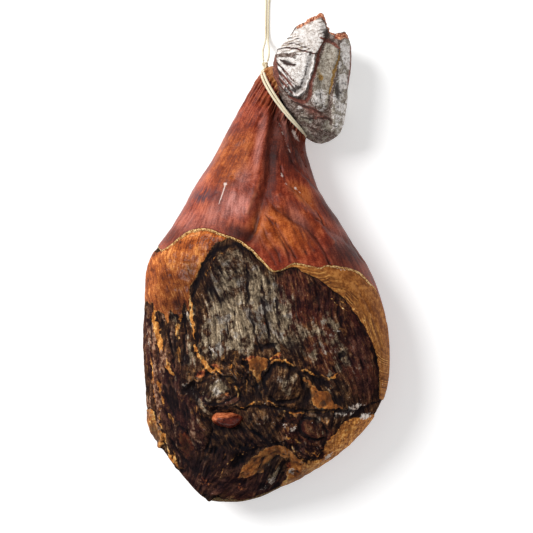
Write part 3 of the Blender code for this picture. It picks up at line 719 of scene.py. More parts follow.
def least_squares_potential(wanted_u, wanted_v, steps=400):
    """The grid whose differences along each axis come closest to the wanted ones."""

    def spread_back(du, dv):
        out = np.zeros(wanted_u.shape)
        out[:, 1:] += du
        out[:, :-1] -= du
        out[1:] += dv
        out[:-1] -= dv
        return out

    wish_u = (wanted_u[:, 1:] + wanted_u[:, :-1]) / 2
    wish_v = (wanted_v[1:] + wanted_v[:-1]) / 2
    grid = np.zeros(wanted_u.shape)
    rest = spread_back(wish_u, wish_v)
    way, size = rest.copy(), (rest * rest).sum()
    for _ in range(steps):
        moved = spread_back(np.diff(way, axis=1), np.diff(way, axis=0))
        step = size / (way * moved).sum()
        grid += step * way
        rest -= step * moved
        new_size = (rest * rest).sum()
        way = rest + new_size / size * way
        size = new_size
    return grid


def unit(vectors):
    """The vectors with a length of 1."""
    return vectors / np.maximum(np.linalg.norm(vectors, axis=-1, keepdims=True), 1e-9)


def run_along(path):
    """How far each point of a path lies along it."""
    return np.concatenate([[0], np.cumsum(np.linalg.norm(np.diff(path, axis=0), axis=1))])


# ---------------------------------------------------------------- the leg's surface


def leg_sections(t):
    """The leg's sections at the places t, with a mirrored one ahead that rounds its tip."""
    rows = np.array(LEG_STATIONS)
    first = rows[1]
    phantom = np.concatenate([first[3:6], first[0:3], -first[6:8]])
    return smooth_through(np.vstack([phantom, rows]), t)


def leg_surface(t, angle):
    """Points of the plain leg, t along it and angle round it, from 0 at the right edge
    over the top to pi at the left edge and on under the back."""
    values = leg_sections(t)
    left_x, left_y, left_z, right_x, right_y, right_z, rise, drop = np.moveaxis(values, -1, 0)
    top = np.sin(angle) >= 0
    power = 2 / np.where(top, FRONT_FULLNESS, BACK_FULLNESS)
    across = np.sign(np.cos(angle)) * np.abs(np.cos(angle)) ** power
    up = np.sign(np.sin(angle)) * np.abs(np.sin(angle)) ** power
    share = (1 + across) / 2
    x = left_x + share * (right_x - left_x)
    y = left_y + share * (right_y - left_y)
    z = left_z + share * (right_z - left_z) + up * np.where(top, rise, drop)
    return np.stack([x, y, z], axis=-1)


def even_angles(start, end, count):
    """Angles round a section that lie about equally far apart on its surface."""
    angle = np.linspace(start, end, 800)
    step = np.hypot(HALF_WIDTH * np.sin(angle), HALF_HEIGHT * np.cos(angle))
    run = np.concatenate([[0], np.cumsum((step[1:] + step[:-1]) / 2)])
    return np.interp(np.linspace(0, run[-1], count), run, angle)


def crossing_places(angles, line):
    """How far along the leg a line drawn across the upper side lies, at each angle."""
    t = np.linspace(1, 12, 500)  # from the hip's round end to the narrow shank
    line_u, line_v = smooth_path(line, 4).T
    order = np.argsort(line_u)
    places = np.empty(len(angles))
    for k, angle in enumerate(np.clip(angles, 0, math.pi)):
        points = leg_surface(t, np.full(len(t), angle))
        u, v = seen_from_above(points)
        places[k] = np.interp(0, v - np.interp(u, line_u[order], line_v[order]), t)
    return places


def rind_edge_places(angles):
    """Where the rind ends at each angle."""
    return crossing_places(angles, RIND_EDGE)


def even_places(starts, ends, angles, rows):
    """Places along the leg at each angle, from its start to its end, equally far apart."""
    share = np.linspace(0, 1, 300)
    t = starts[:, None] + (ends - starts)[:, None] * share
    points = leg_surface(t, np.repeat(angles[:, None], len(share), axis=1))
    steps = np.linalg.norm(np.diff(points, axis=1), axis=-1)
    run = np.concatenate([np.zeros((len(angles), 1)), np.cumsum(steps, axis=1)], axis=1)
    out = np.empty((rows, len(angles)))
    for k in range(len(angles)):
        out[:, k] = np.interp(np.linspace(0, run[k, -1], rows), run[k], t[k])
    return out


def leg_normals(t, angle):
    """Outward normals of the plain leg."""
    step_along = leg_surface(t + 0.02, angle) - leg_surface(t - 0.02, angle)
    step_round = leg_surface(t, angle + 0.03) - leg_surface(t, angle - 0.03)
    return unit(np.cross(step_along, step_round))


def grid_normals(points):
    """Outward normals of a grid of points (rows, columns, 3) that closes round its columns."""
    around = np.roll(points, -1, axis=1) - np.roll(points, 1, axis=1)
    return unit(np.cross(np.gradient(points, axis=0), around))


def blurred(grid, times, closed=False):
    """The grid of values after a few passes of averaging with its neighbours."""
    for _ in range(times):
        if closed:
            side = (np.roll(grid, 1, axis=1) + np.roll(grid, -1, axis=1)) / 2
        else:
            padded = np.pad(grid, ((0, 0), (1, 1)), mode="edge")
            side = (padded[:, :-2] + padded[:, 2:]) / 2
        padded = np.pad(grid, ((1, 1), (0, 0)), mode="edge")
        grid = 0.5 * grid + 0.25 * side + 0.125 * (padded[:-2] + padded[2:])
    return grid


def relief_shade(height, shape, closed=False):
    """How far the points of a grid lie below those round them: 0 on crests, 1 in hollows. The
    materials paint shade into the hollows and highlights onto the crests from it.
    """
    grid = height.reshape(shape)
    return np.clip(0.5 + 0.4 * (blurred(grid, 16, closed) - grid).ravel(), 0, 1)


def faces_between(index, closed=False):
    """Quads between the neighbours of a grid of point numbers, which may close on itself."""
    if closed:
        index = np.hstack([index, index[:, :1]])
    corners = index[:-1, :-1], index[:-1, 1:], index[1:, 1:], index[1:, :-1]
    return np.stack(corners, axis=-1).reshape(-1, 4)


def join_rings(points, faces, values, border, rings):
    """Rings of points joined one after another to a closed border."""
    count = len(border)
    numbers = np.vstack([border, len(points) + np.arange(len(rings) * count).reshape(-1, count)])
    ahead = np.roll(numbers, -1, axis=1)
    quads = np.stack([numbers[:-1], ahead[:-1], ahead[1:], numbers[1:]], axis=-1)
    faces = np.vstack([faces, quads.reshape(-1, 4)])
    for key, data in values.items():
        values[key] = np.concatenate([data, np.tile(data[border], len(rings))])
    return np.vstack([points, *rings]), faces


# ---------------------------------------------------------------- meshes and materials


def link(name, data):
    """A new object of the scene."""
    thing = bpy.data.objects.new(name, data)
    bpy.context.scene.collection.objects.link(thing)
    return thing


def add_piece(name, points, faces, values, finish, replaces=()):
    """A smooth-shaded mesh piece in metres from points in millimetres."""
    mesh = bpy.data.meshes.new(name)
    mesh.from_pydata((points * MM).tolist(), [], [list(face) for face in faces])
    mesh.polygons.foreach_set("use_smooth", np.ones(len(faces), bool))
    for key, data in values.items():
        layer = mesh.attributes.new(key, "FLOAT", "POINT")
        layer.data.foreach_set("value", np.ascontiguousarray(data, np.float32))
    mesh.materials.append(finish)
    mesh.update()
    piece = link(name, mesh)
    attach(piece, "root")
    if replaces:
        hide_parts(*replaces)
    return piece


class Finish:
    """A material whose nodes are added by short calls. Each call gives a socket back."""

    def __init__(self, name):
        self.material = bpy.data.materials.new(name)
        self.material.use_nodes = True
        self.tree = self.material.node_tree
        self.place = self.add("TexCoord", "Object")

    def feed(self, socket, value):
        if isinstance(value, bpy.types.NodeSocket):
            self.tree.links.new(value, socket)
        else:
            socket.default_value = (*value, 1) if isinstance(value, tuple) else value

    def add(self, kind, output, inputs=None, **settings):
        """The named output of a new node with these inputs and settings."""
        node = self.tree.nodes.new("ShaderNode" + kind)
        for key, setting in settings.items():
            setattr(node, key, setting)
        for key, value in (inputs or {}).items():
            self.feed(node.inputs[key], value)
        return node.outputs[output]

    def value(self, name):
        """A named value of the mesh."""
        return self.add("Attribute", "Fac", attribute_name=name)

    def noise(self, size, detail):
        """Noise from 0 to 1 with lumps of the given size in millimetres."""
        inputs = {"Vector": self.place, "Scale": 1 / (size * MM), "Detail": detail, "Roughness": 0.55}
        return self.add("TexNoise", "Fac", inputs)

    def threads(self, width, length, detail):
        """Noise drawn out along the mesh's own fibres, of the given width and length in millimetres."""
        across = self.times(self.value("across"), 1 / width)
        onward = self.times(self.value("along"), 1 / length)
        where = self.add("CombineXYZ", "Vector", {"X": across, "Y": onward})
        return self.add("TexNoise", "Fac", {"Vector": where, "Scale": 1, "Detail": detail})

    def ramp(self, value, stops):
        """Colours that follow a value through the stops of a colour table."""
        output = self.add("ValToRGB", "Color", {"Fac": value})
        elements = output.node.color_ramp.elements
        while len(elements) < len(stops):
            elements.new(0.5)
        for element, (place, *colour) in zip(elements, stops):
            element.position = place
            element.color = (*colour, 1)
        return output

    def math(self, operation, a, b=0.0, clamp=False):
        return self.add("Math", 0, {0: a, 1: b}, operation=operation, use_clamp=clamp)

    def times(self, a, b):
        return self.math("MULTIPLY", a, b)

    def weighed(self, *parts):
        """The sum of (socket, weight) pairs."""
        total = 0.0
        for socket, weight in parts:
            total = self.math("ADD", self.times(socket, weight), total)
        return total

    def between(self, share, a, b):
        """A number between two, by a share from 0 to 1."""
        return self.add("Mix", "Result", {"Factor": share, "A": a, "B": b}, data_type="FLOAT")

    def mix(self, share, a, b, blend="MIX"):
        """A colour between two, or their product or sum."""
        inputs = {"Factor": share, "A": a, "B": b}
        return self.add("Mix", "Result", inputs, data_type="RGBA", blend_type=blend)

    def span(self, value, low, high, to_low=0.0, to_high=1.0):
        """A number that goes smoothly from one to another while a value goes from low to high."""
        inputs = {"Value": value, "From Min": low, "From Max": high, "To Min": to_low, "To Max": to_high}
        return self.add("MapRange", "Result", inputs, interpolation_type="SMOOTHSTEP")

    def ragged(self, name, grain, amount, low, high):
        """A named value of the mesh with its edge broken up by a noise."""
        shift = self.times(self.math("SUBTRACT", grain, 0.5), amount)
        return self.span(self.math("ADD", self.value(name), shift), low, high)

    def lay(self, colour, over, name, grain, amount, low, high):
        """The colour with another one laid over it where a named value of the mesh is high."""
        return self.mix(self.ragged(name, grain, amount, low, high), colour, over)

    def bump(self, height, distance, strength):
        """Relief too fine for the mesh, with its depth in millimetres."""
        inputs = {"Height": height, "Distance": distance * MM, "Strength": strength}
        return self.add("Bump", "Normal", inputs)

    def set(self, **inputs):
        """The finished material, with these inputs of its shader."""
        shader = self.tree.nodes["Principled BSDF"]
        for key, value in inputs.items():
            self.feed(shader.inputs[key.replace("_", " ")], value)
        return self.material


# Colours of the meat and its fat: place along the noise, then red, green and blue.
MEAT = {
    "brown": (
        (0.42, 0.01, 0.003, 0.001), (0.49, 0.026, 0.01, 0.004), (0.55, 0.07, 0.033, 0.013),
        (0.62, 0.2, 0.11, 0.05),
    ),
    "maroon": (
        (0.42, 0.014, 0.002, 0.001), (0.49, 0.036, 0.008, 0.004), (0.55, 0.075, 0.023, 0.009),
        (0.62, 0.2, 0.095, 0.038),
    ),
    "wine": ((0.42, 0.016, 0.004, 0.003), (0.5, 0.042, 0.013, 0.009), (0.58, 0.115, 0.045, 0.028)),
    "red": ((0.42, 0.06, 0.012, 0.006), (0.5, 0.26, 0.055, 0.018), (0.58, 0.6, 0.22, 0.075)),
    "mould": (
        (0.41, 0.048, 0.033, 0.02), (0.47, 0.14, 0.1, 0.061), (0.53, 0.265, 0.195, 0.122),
        (0.6, 0.6, 0.48, 0.33),
    ),
    "bluish": ((0.4, 0.034, 0.028, 0.026), (0.48, 0.12, 0.104, 0.092), (0.6, 0.52, 0.48, 0.45)),
    "vein": ((0.4, 0.12, 0.038, 0.01), (0.6, 0.42, 0.19, 0.055)),
    "amber": (
        (0.41, 0.1, 0.03, 0.007), (0.47, 0.3, 0.1, 0.018), (0.53, 0.54, 0.21, 0.04),
        (0.59, 0.85, 0.5, 0.16),
    ),
    "seam": (
        (0.42, 0.26, 0.08, 0.014), (0.48, 0.46, 0.17, 0.032), (0.54, 0.64, 0.285, 0.065),
        (0.6, 0.86, 0.55, 0.22),
    ),
    "grained": (
        (0.41, 0.085, 0.027, 0.005), (0.47, 0.23, 0.074, 0.013), (0.53, 0.35, 0.125, 0.024),
        (0.61, 0.66, 0.33, 0.085),
    ),
    "waxy": ((0.42, 0.18, 0.052, 0.008), (0.5, 0.29, 0.092, 0.016), (0.58, 0.48, 0.19, 0.042)),
    "smoked": (
        (0.41, 0.09, 0.018, 0.003), (0.47, 0.23, 0.05, 0.008), (0.53, 0.37, 0.098, 0.017),
        (0.6, 0.66, 0.25, 0.065),
    ),
    "rim": ((0.42, 0.066, 0.024, 0.013), (0.5, 0.14, 0.06, 0.032), (0.58, 0.3, 0.17, 0.105)),
    "pale": ((0.4, 0.16, 0.105, 0.08), (0.5, 0.42, 0.33, 0.27), (0.58, 0.72, 0.64, 0.56)),
}
# The near-black colour of painted shade in grooves and hollows.
PAINTED_SHADE_BLACK = (0.008, 0.004, 0.003)


def face_finish(name):
    """Dry meat with grey mould and orange fat, with painted shade in its grooves and hollows and a painted
    highlight on torn crests.
    """
    f = Finish(name)
    fine, mid, coarse = f.noise(1.5, 3), f.noise(4.0, 4), f.noise(16, 3)
    thread, strand, bundle = f.threads(1.2, 5.0, 2), f.threads(1.7, 22.0, 2), f.threads(4.0, 26.0, 3)
    fibres = f.weighed((thread, 0.22), (strand, 0.30), (bundle, 0.26), (fine, 0.22))
    lumpy = f.noise(8.0, 3)
    weave = f.between(f.value("veins"), fibres, f.weighed((lumpy, 0.4), (fine, 0.25), (bundle, 0.35)))
    brown = f.ramp(weave, MEAT["brown"])
    maroon = f.ramp(weave, MEAT["maroon"])
    colour = f.mix(f.ragged("maroon", mid, 0.8, 0.2, 0.7), brown, maroon)
    colour = f.mix(1.0, colour, f.span(coarse, 0.42, 0.58, 0.65, 1.6), "MULTIPLY")
    bruise = f.weighed((coarse, 0.35), (bundle, 0.35), (fine, 0.30))
    wine = f.ramp(bruise, MEAT["wine"])
    colour = f.lay(colour, wine, "wine", mid, 1.0, 0.3, 0.8)
    patina = f.weighed((weave, 0.6), (mid, 0.4))
    red = f.ramp(patina, MEAT["red"])
    colour = f.lay(colour, red, "red", mid, 1.2, 0.3, 0.6)
    mould = f.ramp(weave, MEAT["mould"])
    bluish = f.ramp(weave, MEAT["bluish"])
    mould = f.mix(f.span(coarse, 0.52, 0.62, 0.0, 0.65), mould, bluish)
    cover = f.ragged("mould", f.weighed((bundle, 0.5), (mid, 0.3), (fine, 0.2)), 1.7, 0.18, 0.62)
    colour = f.mix(cover, colour, mould)
    vein = f.math("ABSOLUTE", f.math("SUBTRACT", f.threads(7.0, 38.0, 2), 0.5))
    vein = f.times(f.span(vein, 0.0, 0.030, 1.0, 0.0), f.value("veins"))
    vein = f.times(vein, f.span(lumpy, 0.46, 0.56))
    colour = f.mix(vein, colour, f.ramp(mid, MEAT["vein"]))
    gold = f.weighed((fine, 0.22), (mid, 0.33), (coarse, 0.30), (thread, 0.15))
    amber = f.ramp(gold, MEAT["amber"])
    satin = f.weighed((bundle, 0.40), (mid, 0.35), (fine, 0.25))
    seam = f.ramp(satin, MEAT["seam"])
    grain = f.weighed((f.threads(1.3, 42.0, 4), 0.6), (mid, 0.25), (fine, 0.15))
    grained = f.ramp(grain, MEAT["grained"])
    waxy = f.ramp(f.weighed((coarse, 0.5), (mid, 0.3), (fine, 0.2)), MEAT["waxy"])
    strip = f.mix(f.value("waxy"), grained, waxy)
    haze = f.weighed((f.threads(2.2, 14.0, 3), 0.35), (coarse, 0.40), (fine, 0.25))
    smoked = f.ramp(haze, MEAT["smoked"])
    fat = f.mix(f.span(f.value("tan"), 0.2, 0.8), amber, strip)
    fat = f.mix(f.span(f.value("smoke"), 0.3, 0.7), fat, smoked)
    fatty = f.ragged("fat", gold, 1.3, 0.34, 0.60)
    colour = f.mix(fatty, colour, fat)
    colour = f.lay(colour, seam, "seam", mid, 1.3, 0.32, 0.62)
    rim = f.ramp(mid, MEAT["rim"])
    colour = f.lay(colour, rim, "rim", f.weighed((strand, 0.5), (mid, 0.5)), 2.4, 0.40, 0.80)
    # Pale cream, in some places painted glints.
    pale = f.ramp(gold, MEAT["pale"])
    colour = f.lay(colour, pale, "pale", gold, 3.4, 0.42, 0.66)
    # Painted shade in the grooves, pits and cracks.
    groove_shade = f.times(f.ragged("dark_and_shade", patina, 1.2, 0.16, 0.66), 0.90)
    colour = f.mix(groove_shade, colour, PAINTED_SHADE_BLACK)
    # Painted shade in the hollows of the relief.
    colour = f.mix(f.span(f.value("relief_shade"), 0.52, 0.90, 0.0, 0.94), colour, PAINTED_SHADE_BLACK)
    # On the crests of torn meat: the colour of sinew mixed with a painted highlight.
    lit_crest = f.times(f.span(f.value("relief_shade"), 0.42, 0.10), f.span(f.value("veins"), 0.2, 0.9, 0.0, 0.8))
    sinew_and_sheen = f.mix(f.span(coarse, 0.46, 0.54), (0.17, 0.062, 0.020), (0.15, 0.105, 0.075))
    colour = f.mix(f.times(lit_crest, f.span(lumpy, 0.40, 0.56)), colour, sinew_and_sheen)
    colour = f.mix(1.0, colour, f.value("tone"), "MULTIPLY")
    colour = f.mix(1.0, colour, (0.003, 0.004, 0.006), "ADD")
    wet = f.math("SUBTRACT", f.span(mid, 0.35, 0.65, 0.26, 0.44), f.times(f.value("veins"), 0.12))
    matt = f.math("ADD", wet, f.times(cover, 0.30), clamp=True)
    relief = f.bump(f.weighed((thread, 0.4), (fine, 0.8)), 1.2, 1.0)
    return f.set(
        Base_Color=colour,
        Roughness=matt,
        Normal=relief,
        Specular_IOR_Level=0.0,
        Coat_Weight=f.times(fatty, 0.14),
        Coat_Roughness=0.26,
    )


# Colours of the smoked rind: place along the noise, then red, green and blue.
SKIN = {
    "red": ((0.43, 0.098, 0.01, 0.004), (0.5, 0.2, 0.026, 0.008), (0.57, 0.38, 0.08, 0.034)),
    "tan": ((0.43, 0.13, 0.018, 0.003), (0.5, 0.262, 0.048, 0.006), (0.57, 0.48, 0.13, 0.03)),
    "maroon": ((0.43, 0.024, 0.003, 0.002), (0.5, 0.062, 0.008, 0.004), (0.57, 0.15, 0.028, 0.014)),
    "amber": ((0.41, 0.2, 0.058, 0.012), (0.5, 0.42, 0.165, 0.05), (0.6, 0.7, 0.42, 0.2)),
    "lip": ((0.4, 0.17, 0.056, 0.012), (0.48, 0.52, 0.24, 0.06), (0.58, 0.85, 0.6, 0.28)),
}


def rind_finish():
    """Smoked skin, waxy and reddish brown, with a painted sheen, painted shade in its folds and hollows and
    painted highlights on its crests.
    """
    f = Finish("smoked_rind")
    fine, mid, coarse = f.noise(1.2, 4), f.noise(7, 4), f.noise(34, 3)
    drawn = f.threads(2.2, 26.0, 3)
    blend = f.weighed((coarse, 0.30), (mid, 0.20), (fine, 0.28), (drawn, 0.22))
    red = f.ramp(blend, SKIN["red"])
    tan = f.ramp(blend, SKIN["tan"])
    maroon = f.ramp(blend, SKIN["maroon"])
    colour = f.mix(f.ragged("tan", coarse, 1.0, 0.2, 0.9), red, tan)
    # Maroon where the skin is dark, which also lays painted shade in the valley and the folds.
    colour = f.lay(colour, maroon, "dark_and_shade", f.weighed((coarse, 0.5), (mid, 0.5)), 1.0, 0.1, 0.9)
    # Painted shade in the hollows of the relief, then a painted highlight on its crests.
    colour = f.mix(f.span(f.value("relief_shade"), 0.54, 0.95, 0.0, 0.80), colour, (0.040, 0.008, 0.005))
    colour = f.mix(f.span(f.value("relief_shade"), 0.44, 0.10, 0.0, 0.40), colour, (0.52, 0.17, 0.085))
    colour = f.mix(f.span(f.value("amber"), 0.2, 0.9), colour, f.ramp(blend, SKIN["amber"]))
    # Painted sheen: a pale pink highlight laid into the colour, broken up by fine grain.
    sheen_grain = f.span(f.weighed((fine, 0.5), (drawn, 0.5)), 0.40, 0.60, 0.35, 1.0)
    painted_sheen = f.times(f.value("painted_sheen"), sheen_grain)
    colour = f.mix(painted_sheen, colour, (0.52, 0.22, 0.18))
    smudge = f.times(f.value("violet"), f.span(f.threads(1.4, 12.0, 2), 0.38, 0.54))
    colour = f.mix(smudge, colour, (0.050, 0.024, 0.033))
    colour = f.lay(colour, (0.60, 0.46, 0.40), "salt", fine, 1.4, 0.4, 0.8)
    lip = f.ramp(f.noise(1.8, 3), SKIN["lip"])
    colour = f.mix(f.span(f.value("lip"), 0.3, 0.7), colour, lip)
    colour = f.mix(1.0, colour, f.value("tone"), "MULTIPLY")
    matt = f.math("ADD", f.span(mid, 0.35, 0.65, 0.36, 0.44), f.times(f.value("dark_and_shade"), 0.20))
    return f.set(
        Base_Color=colour,
        Roughness=matt,
        Normal=f.bump(f.weighed((fine, 0.3), (f.noise(2.8, 3), 0.4), (mid, 0.1), (drawn, 0.2)), 1.0, 0.9),
        Specular_IOR_Level=0.17,
    )


# Colours of the hock: place along the noise, then red, green and blue.
HOCK_SKIN = {
    "skin": ((0.4, 0.045, 0.025, 0.018), (0.5, 0.13, 0.086, 0.068), (0.6, 0.33, 0.27, 0.24)),
    "grey": ((0.38, 0.1, 0.077, 0.058), (0.48, 0.24, 0.2, 0.155), (0.6, 0.44, 0.4, 0.34)),
    "white": ((0.38, 0.3, 0.24, 0.21), (0.46, 0.58, 0.52, 0.48), (0.56, 0.84, 0.8, 0.77)),
    "ochre": ((0.35, 0.15, 0.075, 0.022), (0.65, 0.38, 0.22, 0.06)),
    "red": ((0.34, 0.055, 0.016, 0.012), (0.5, 0.14, 0.043, 0.03), (0.66, 0.3, 0.12, 0.085)),
    "torn": ((0.41, 0.1, 0.016, 0.008), (0.49, 0.32, 0.068, 0.026), (0.57, 0.8, 0.42, 0.24)),
}


def hock_finish():
    """Dry skin and sinew of the hock under white and grey mould."""
    f = Finish("moulded_hock")
    fine, mid = f.noise(1.2, 4), f.noise(4, 4)
    blend = f.math("ADD", f.times(mid, 0.5), f.times(fine, 0.5))
    skin = f.ramp(blend, HOCK_SKIN["skin"])
    grey = f.ramp(blend, HOCK_SKIN["grey"])
    white = f.ramp(blend, HOCK_SKIN["white"])
    colour = f.mix(f.ragged("grey", fine, 0.7, 0.3, 0.7), skin, grey)
    colour = f.lay(colour, white, "white", fine, 0.8, 0.3, 0.7)
    colour = f.lay(colour, (0.30, 0.23, 0.17), "wrinkle", fine, 0.5, 0.25, 0.85)
    colour = f.lay(colour, f.ramp(fine, HOCK_SKIN["ochre"]), "ochre", fine, 0.6, 0.3, 0.7)
    red = f.ramp(blend, HOCK_SKIN["red"])
    colour = f.lay(colour, red, "red", fine, 0.5, 0.3, 0.7)
    torn = f.ramp(blend, HOCK_SKIN["torn"])
    colour = f.lay(colour, torn, "torn", fine, 0.5, 0.35, 0.65)
    # Near black on dark specks and nets, and painted shade in folds and hollows.
    colour = f.mix(f.span(f.value("dark_and_shade"), 0.15, 0.9, 0.0, 0.93), colour, (0.030, 0.019, 0.016))
    return f.set(Base_Color=colour, Roughness=0.8, Normal=f.bump(blend, 1.1, 0.9), Specular_IOR_Level=0.25)


# Colours of the ball: place along the noise, then red, green and blue. The bright one is partly painted
# light, the deep one partly painted shade.
BONE = {
    "deep_and_shaded": ((0.4, 0.024, 0.003, 0.002), (0.6, 0.11, 0.016, 0.008)),
    "bright_and_lit": ((0.4, 0.32, 0.06, 0.018), (0.6, 0.7, 0.22, 0.09)),
}


def bone_finish():
    """Wet-looking cartilage of the thigh bone's ball."""
    f = Finish("glossy_cartilage")
    fine, mid = f.noise(1.2, 4), f.noise(4, 4)
    blend = f.math("ADD", f.times(mid, 0.6), f.times(fine, 0.4))
    deep_and_shaded = f.ramp(blend, BONE["deep_and_shaded"])
    bright_and_lit = f.ramp(blend, BONE["bright_and_lit"])
    colour = f.mix(f.ragged("bright_and_lit", mid, 0.9, 0.2, 0.8), deep_and_shaded, bright_and_lit)
    colour = f.lay(colour, (0.34, 0.20, 0.16), "rim", fine, 0.8, 0.3, 0.8)
    return f.set(Base_Color=colour, Roughness=0.28, Normal=f.bump(blend, 0.5, 0.6), Specular_IOR_Level=0.2)


def string_finish():
    """Undyed cotton, a little greasy."""
    f = Finish("cotton_twine")
    fine, mid = f.noise(0.6, 3), f.noise(14, 3)
    pale = f.mix(f.span(fine, 0.3, 0.7), (0.60, 0.50, 0.32), (0.86, 0.79, 0.60))
    colour = f.mix(f.span(mid, 0.5, 0.75, 0.0, 0.5), pale, (0.48, 0.33, 0.17))
    return f.set(
        Base_Color=colour,
        Roughness=0.85,
        Normal=f.bump(fine, 0.25, 0.7),
        Sheen_Weight=0.3,
        Specular_IOR_Level=0.2,
    )


# ---------------------------------------------------------------- the cut face


def blended_directions(u, v):
    """Angles of the meat's fibres, blended between the places in the table."""
    total = np.zeros((2, *u.shape))
    for at_u, at_v, degrees in FIBRES:
        weight = 1 / ((u - at_u) ** 2 + (v - at_v) ** 2 + 60.0) ** 1.5
        total[0] += weight * math.cos(math.radians(2 * degrees))
        total[1] += weight * math.sin(math.radians(2 * degrees))
    return np.arctan2(total[1], total[0]) / 2 % math.pi


def fibre_places(u, v):
    """Where each point lies across and along the fibres, in millimetres."""
    cell = 2.0
    line_u, line_v = np.arange(-176, 178, cell), np.arange(-320, 66, cell)
    grid_u, grid_v = np.meshgrid(line_u, line_v)
    angle = blended_directions(grid_u, grid_v)
    across = least_squares_potential(np.sin(angle) * cell, -np.cos(angle) * cell)
    onward = least_squares_potential(np.cos(angle) * cell, np.sin(angle) * cell)
    place_u = np.clip((u - line_u[0]) / cell, 0, len(line_u) - 1.001)
    place_v = np.clip((v - line_v[0]) / cell, 0, len(line_v) - 1.001)
    i, j = place_u.astype(int), place_v.astype(int)
    fu, fv = place_u - i, place_v - j
    read = []
    for grid in (across, onward):
        low = grid[j, i] * (1 - fu) + grid[j, i + 1] * fu
        high = grid[j + 1, i] * (1 - fu) + grid[j + 1, i + 1] * fu
        read.append(low * (1 - fv) + high * fv)
    return read


def regions(u, v, table):
    """How much each point lies in each of some outlines: outline, place of 0, place of 1."""
    return [ease(depth_inside(u, v, outline), low, high) for outline, low, high in table]


def line_relief(u, v, warp_u, warp_v):
    """Heights of the muscles, seams and grooves, and how strong the seams and the painted shade of the
    grooves and rings are.
    """
    where = flat_points(u, v)
    broken = np.clip(0.85 + 0.8 * noise(where, 7, 73), 0, 1)
    uneven = np.clip(0.8 + 0.7 * noise(where, 9, 74), 0, 1)
    height = summed(warp_u, warp_v, MUSCLES, 3.0)
    seams, dark_and_shade = np.zeros(len(u)), np.zeros(len(u))
    for half_width, amount, points in FAT_SEAMS:
        line = stroke(warp_u, warp_v, half_width, points) * broken
        seams = np.maximum(seams, line * min(1.0, half_width / 1.8))
        height += amount * line
    for half_width, amount, points in GROOVES:
        line = stroke(warp_u, warp_v, half_width, points) * uneven
        dark_and_shade = np.maximum(dark_and_shade, line)
        height += amount * line
    for *place, width, amount in RINGS:
        line = ring(warp_u, warp_v, *place, width) * uneven
        dark_and_shade = np.maximum(dark_and_shade, line)
        height += amount * line
    return height, seams, dark_and_shade


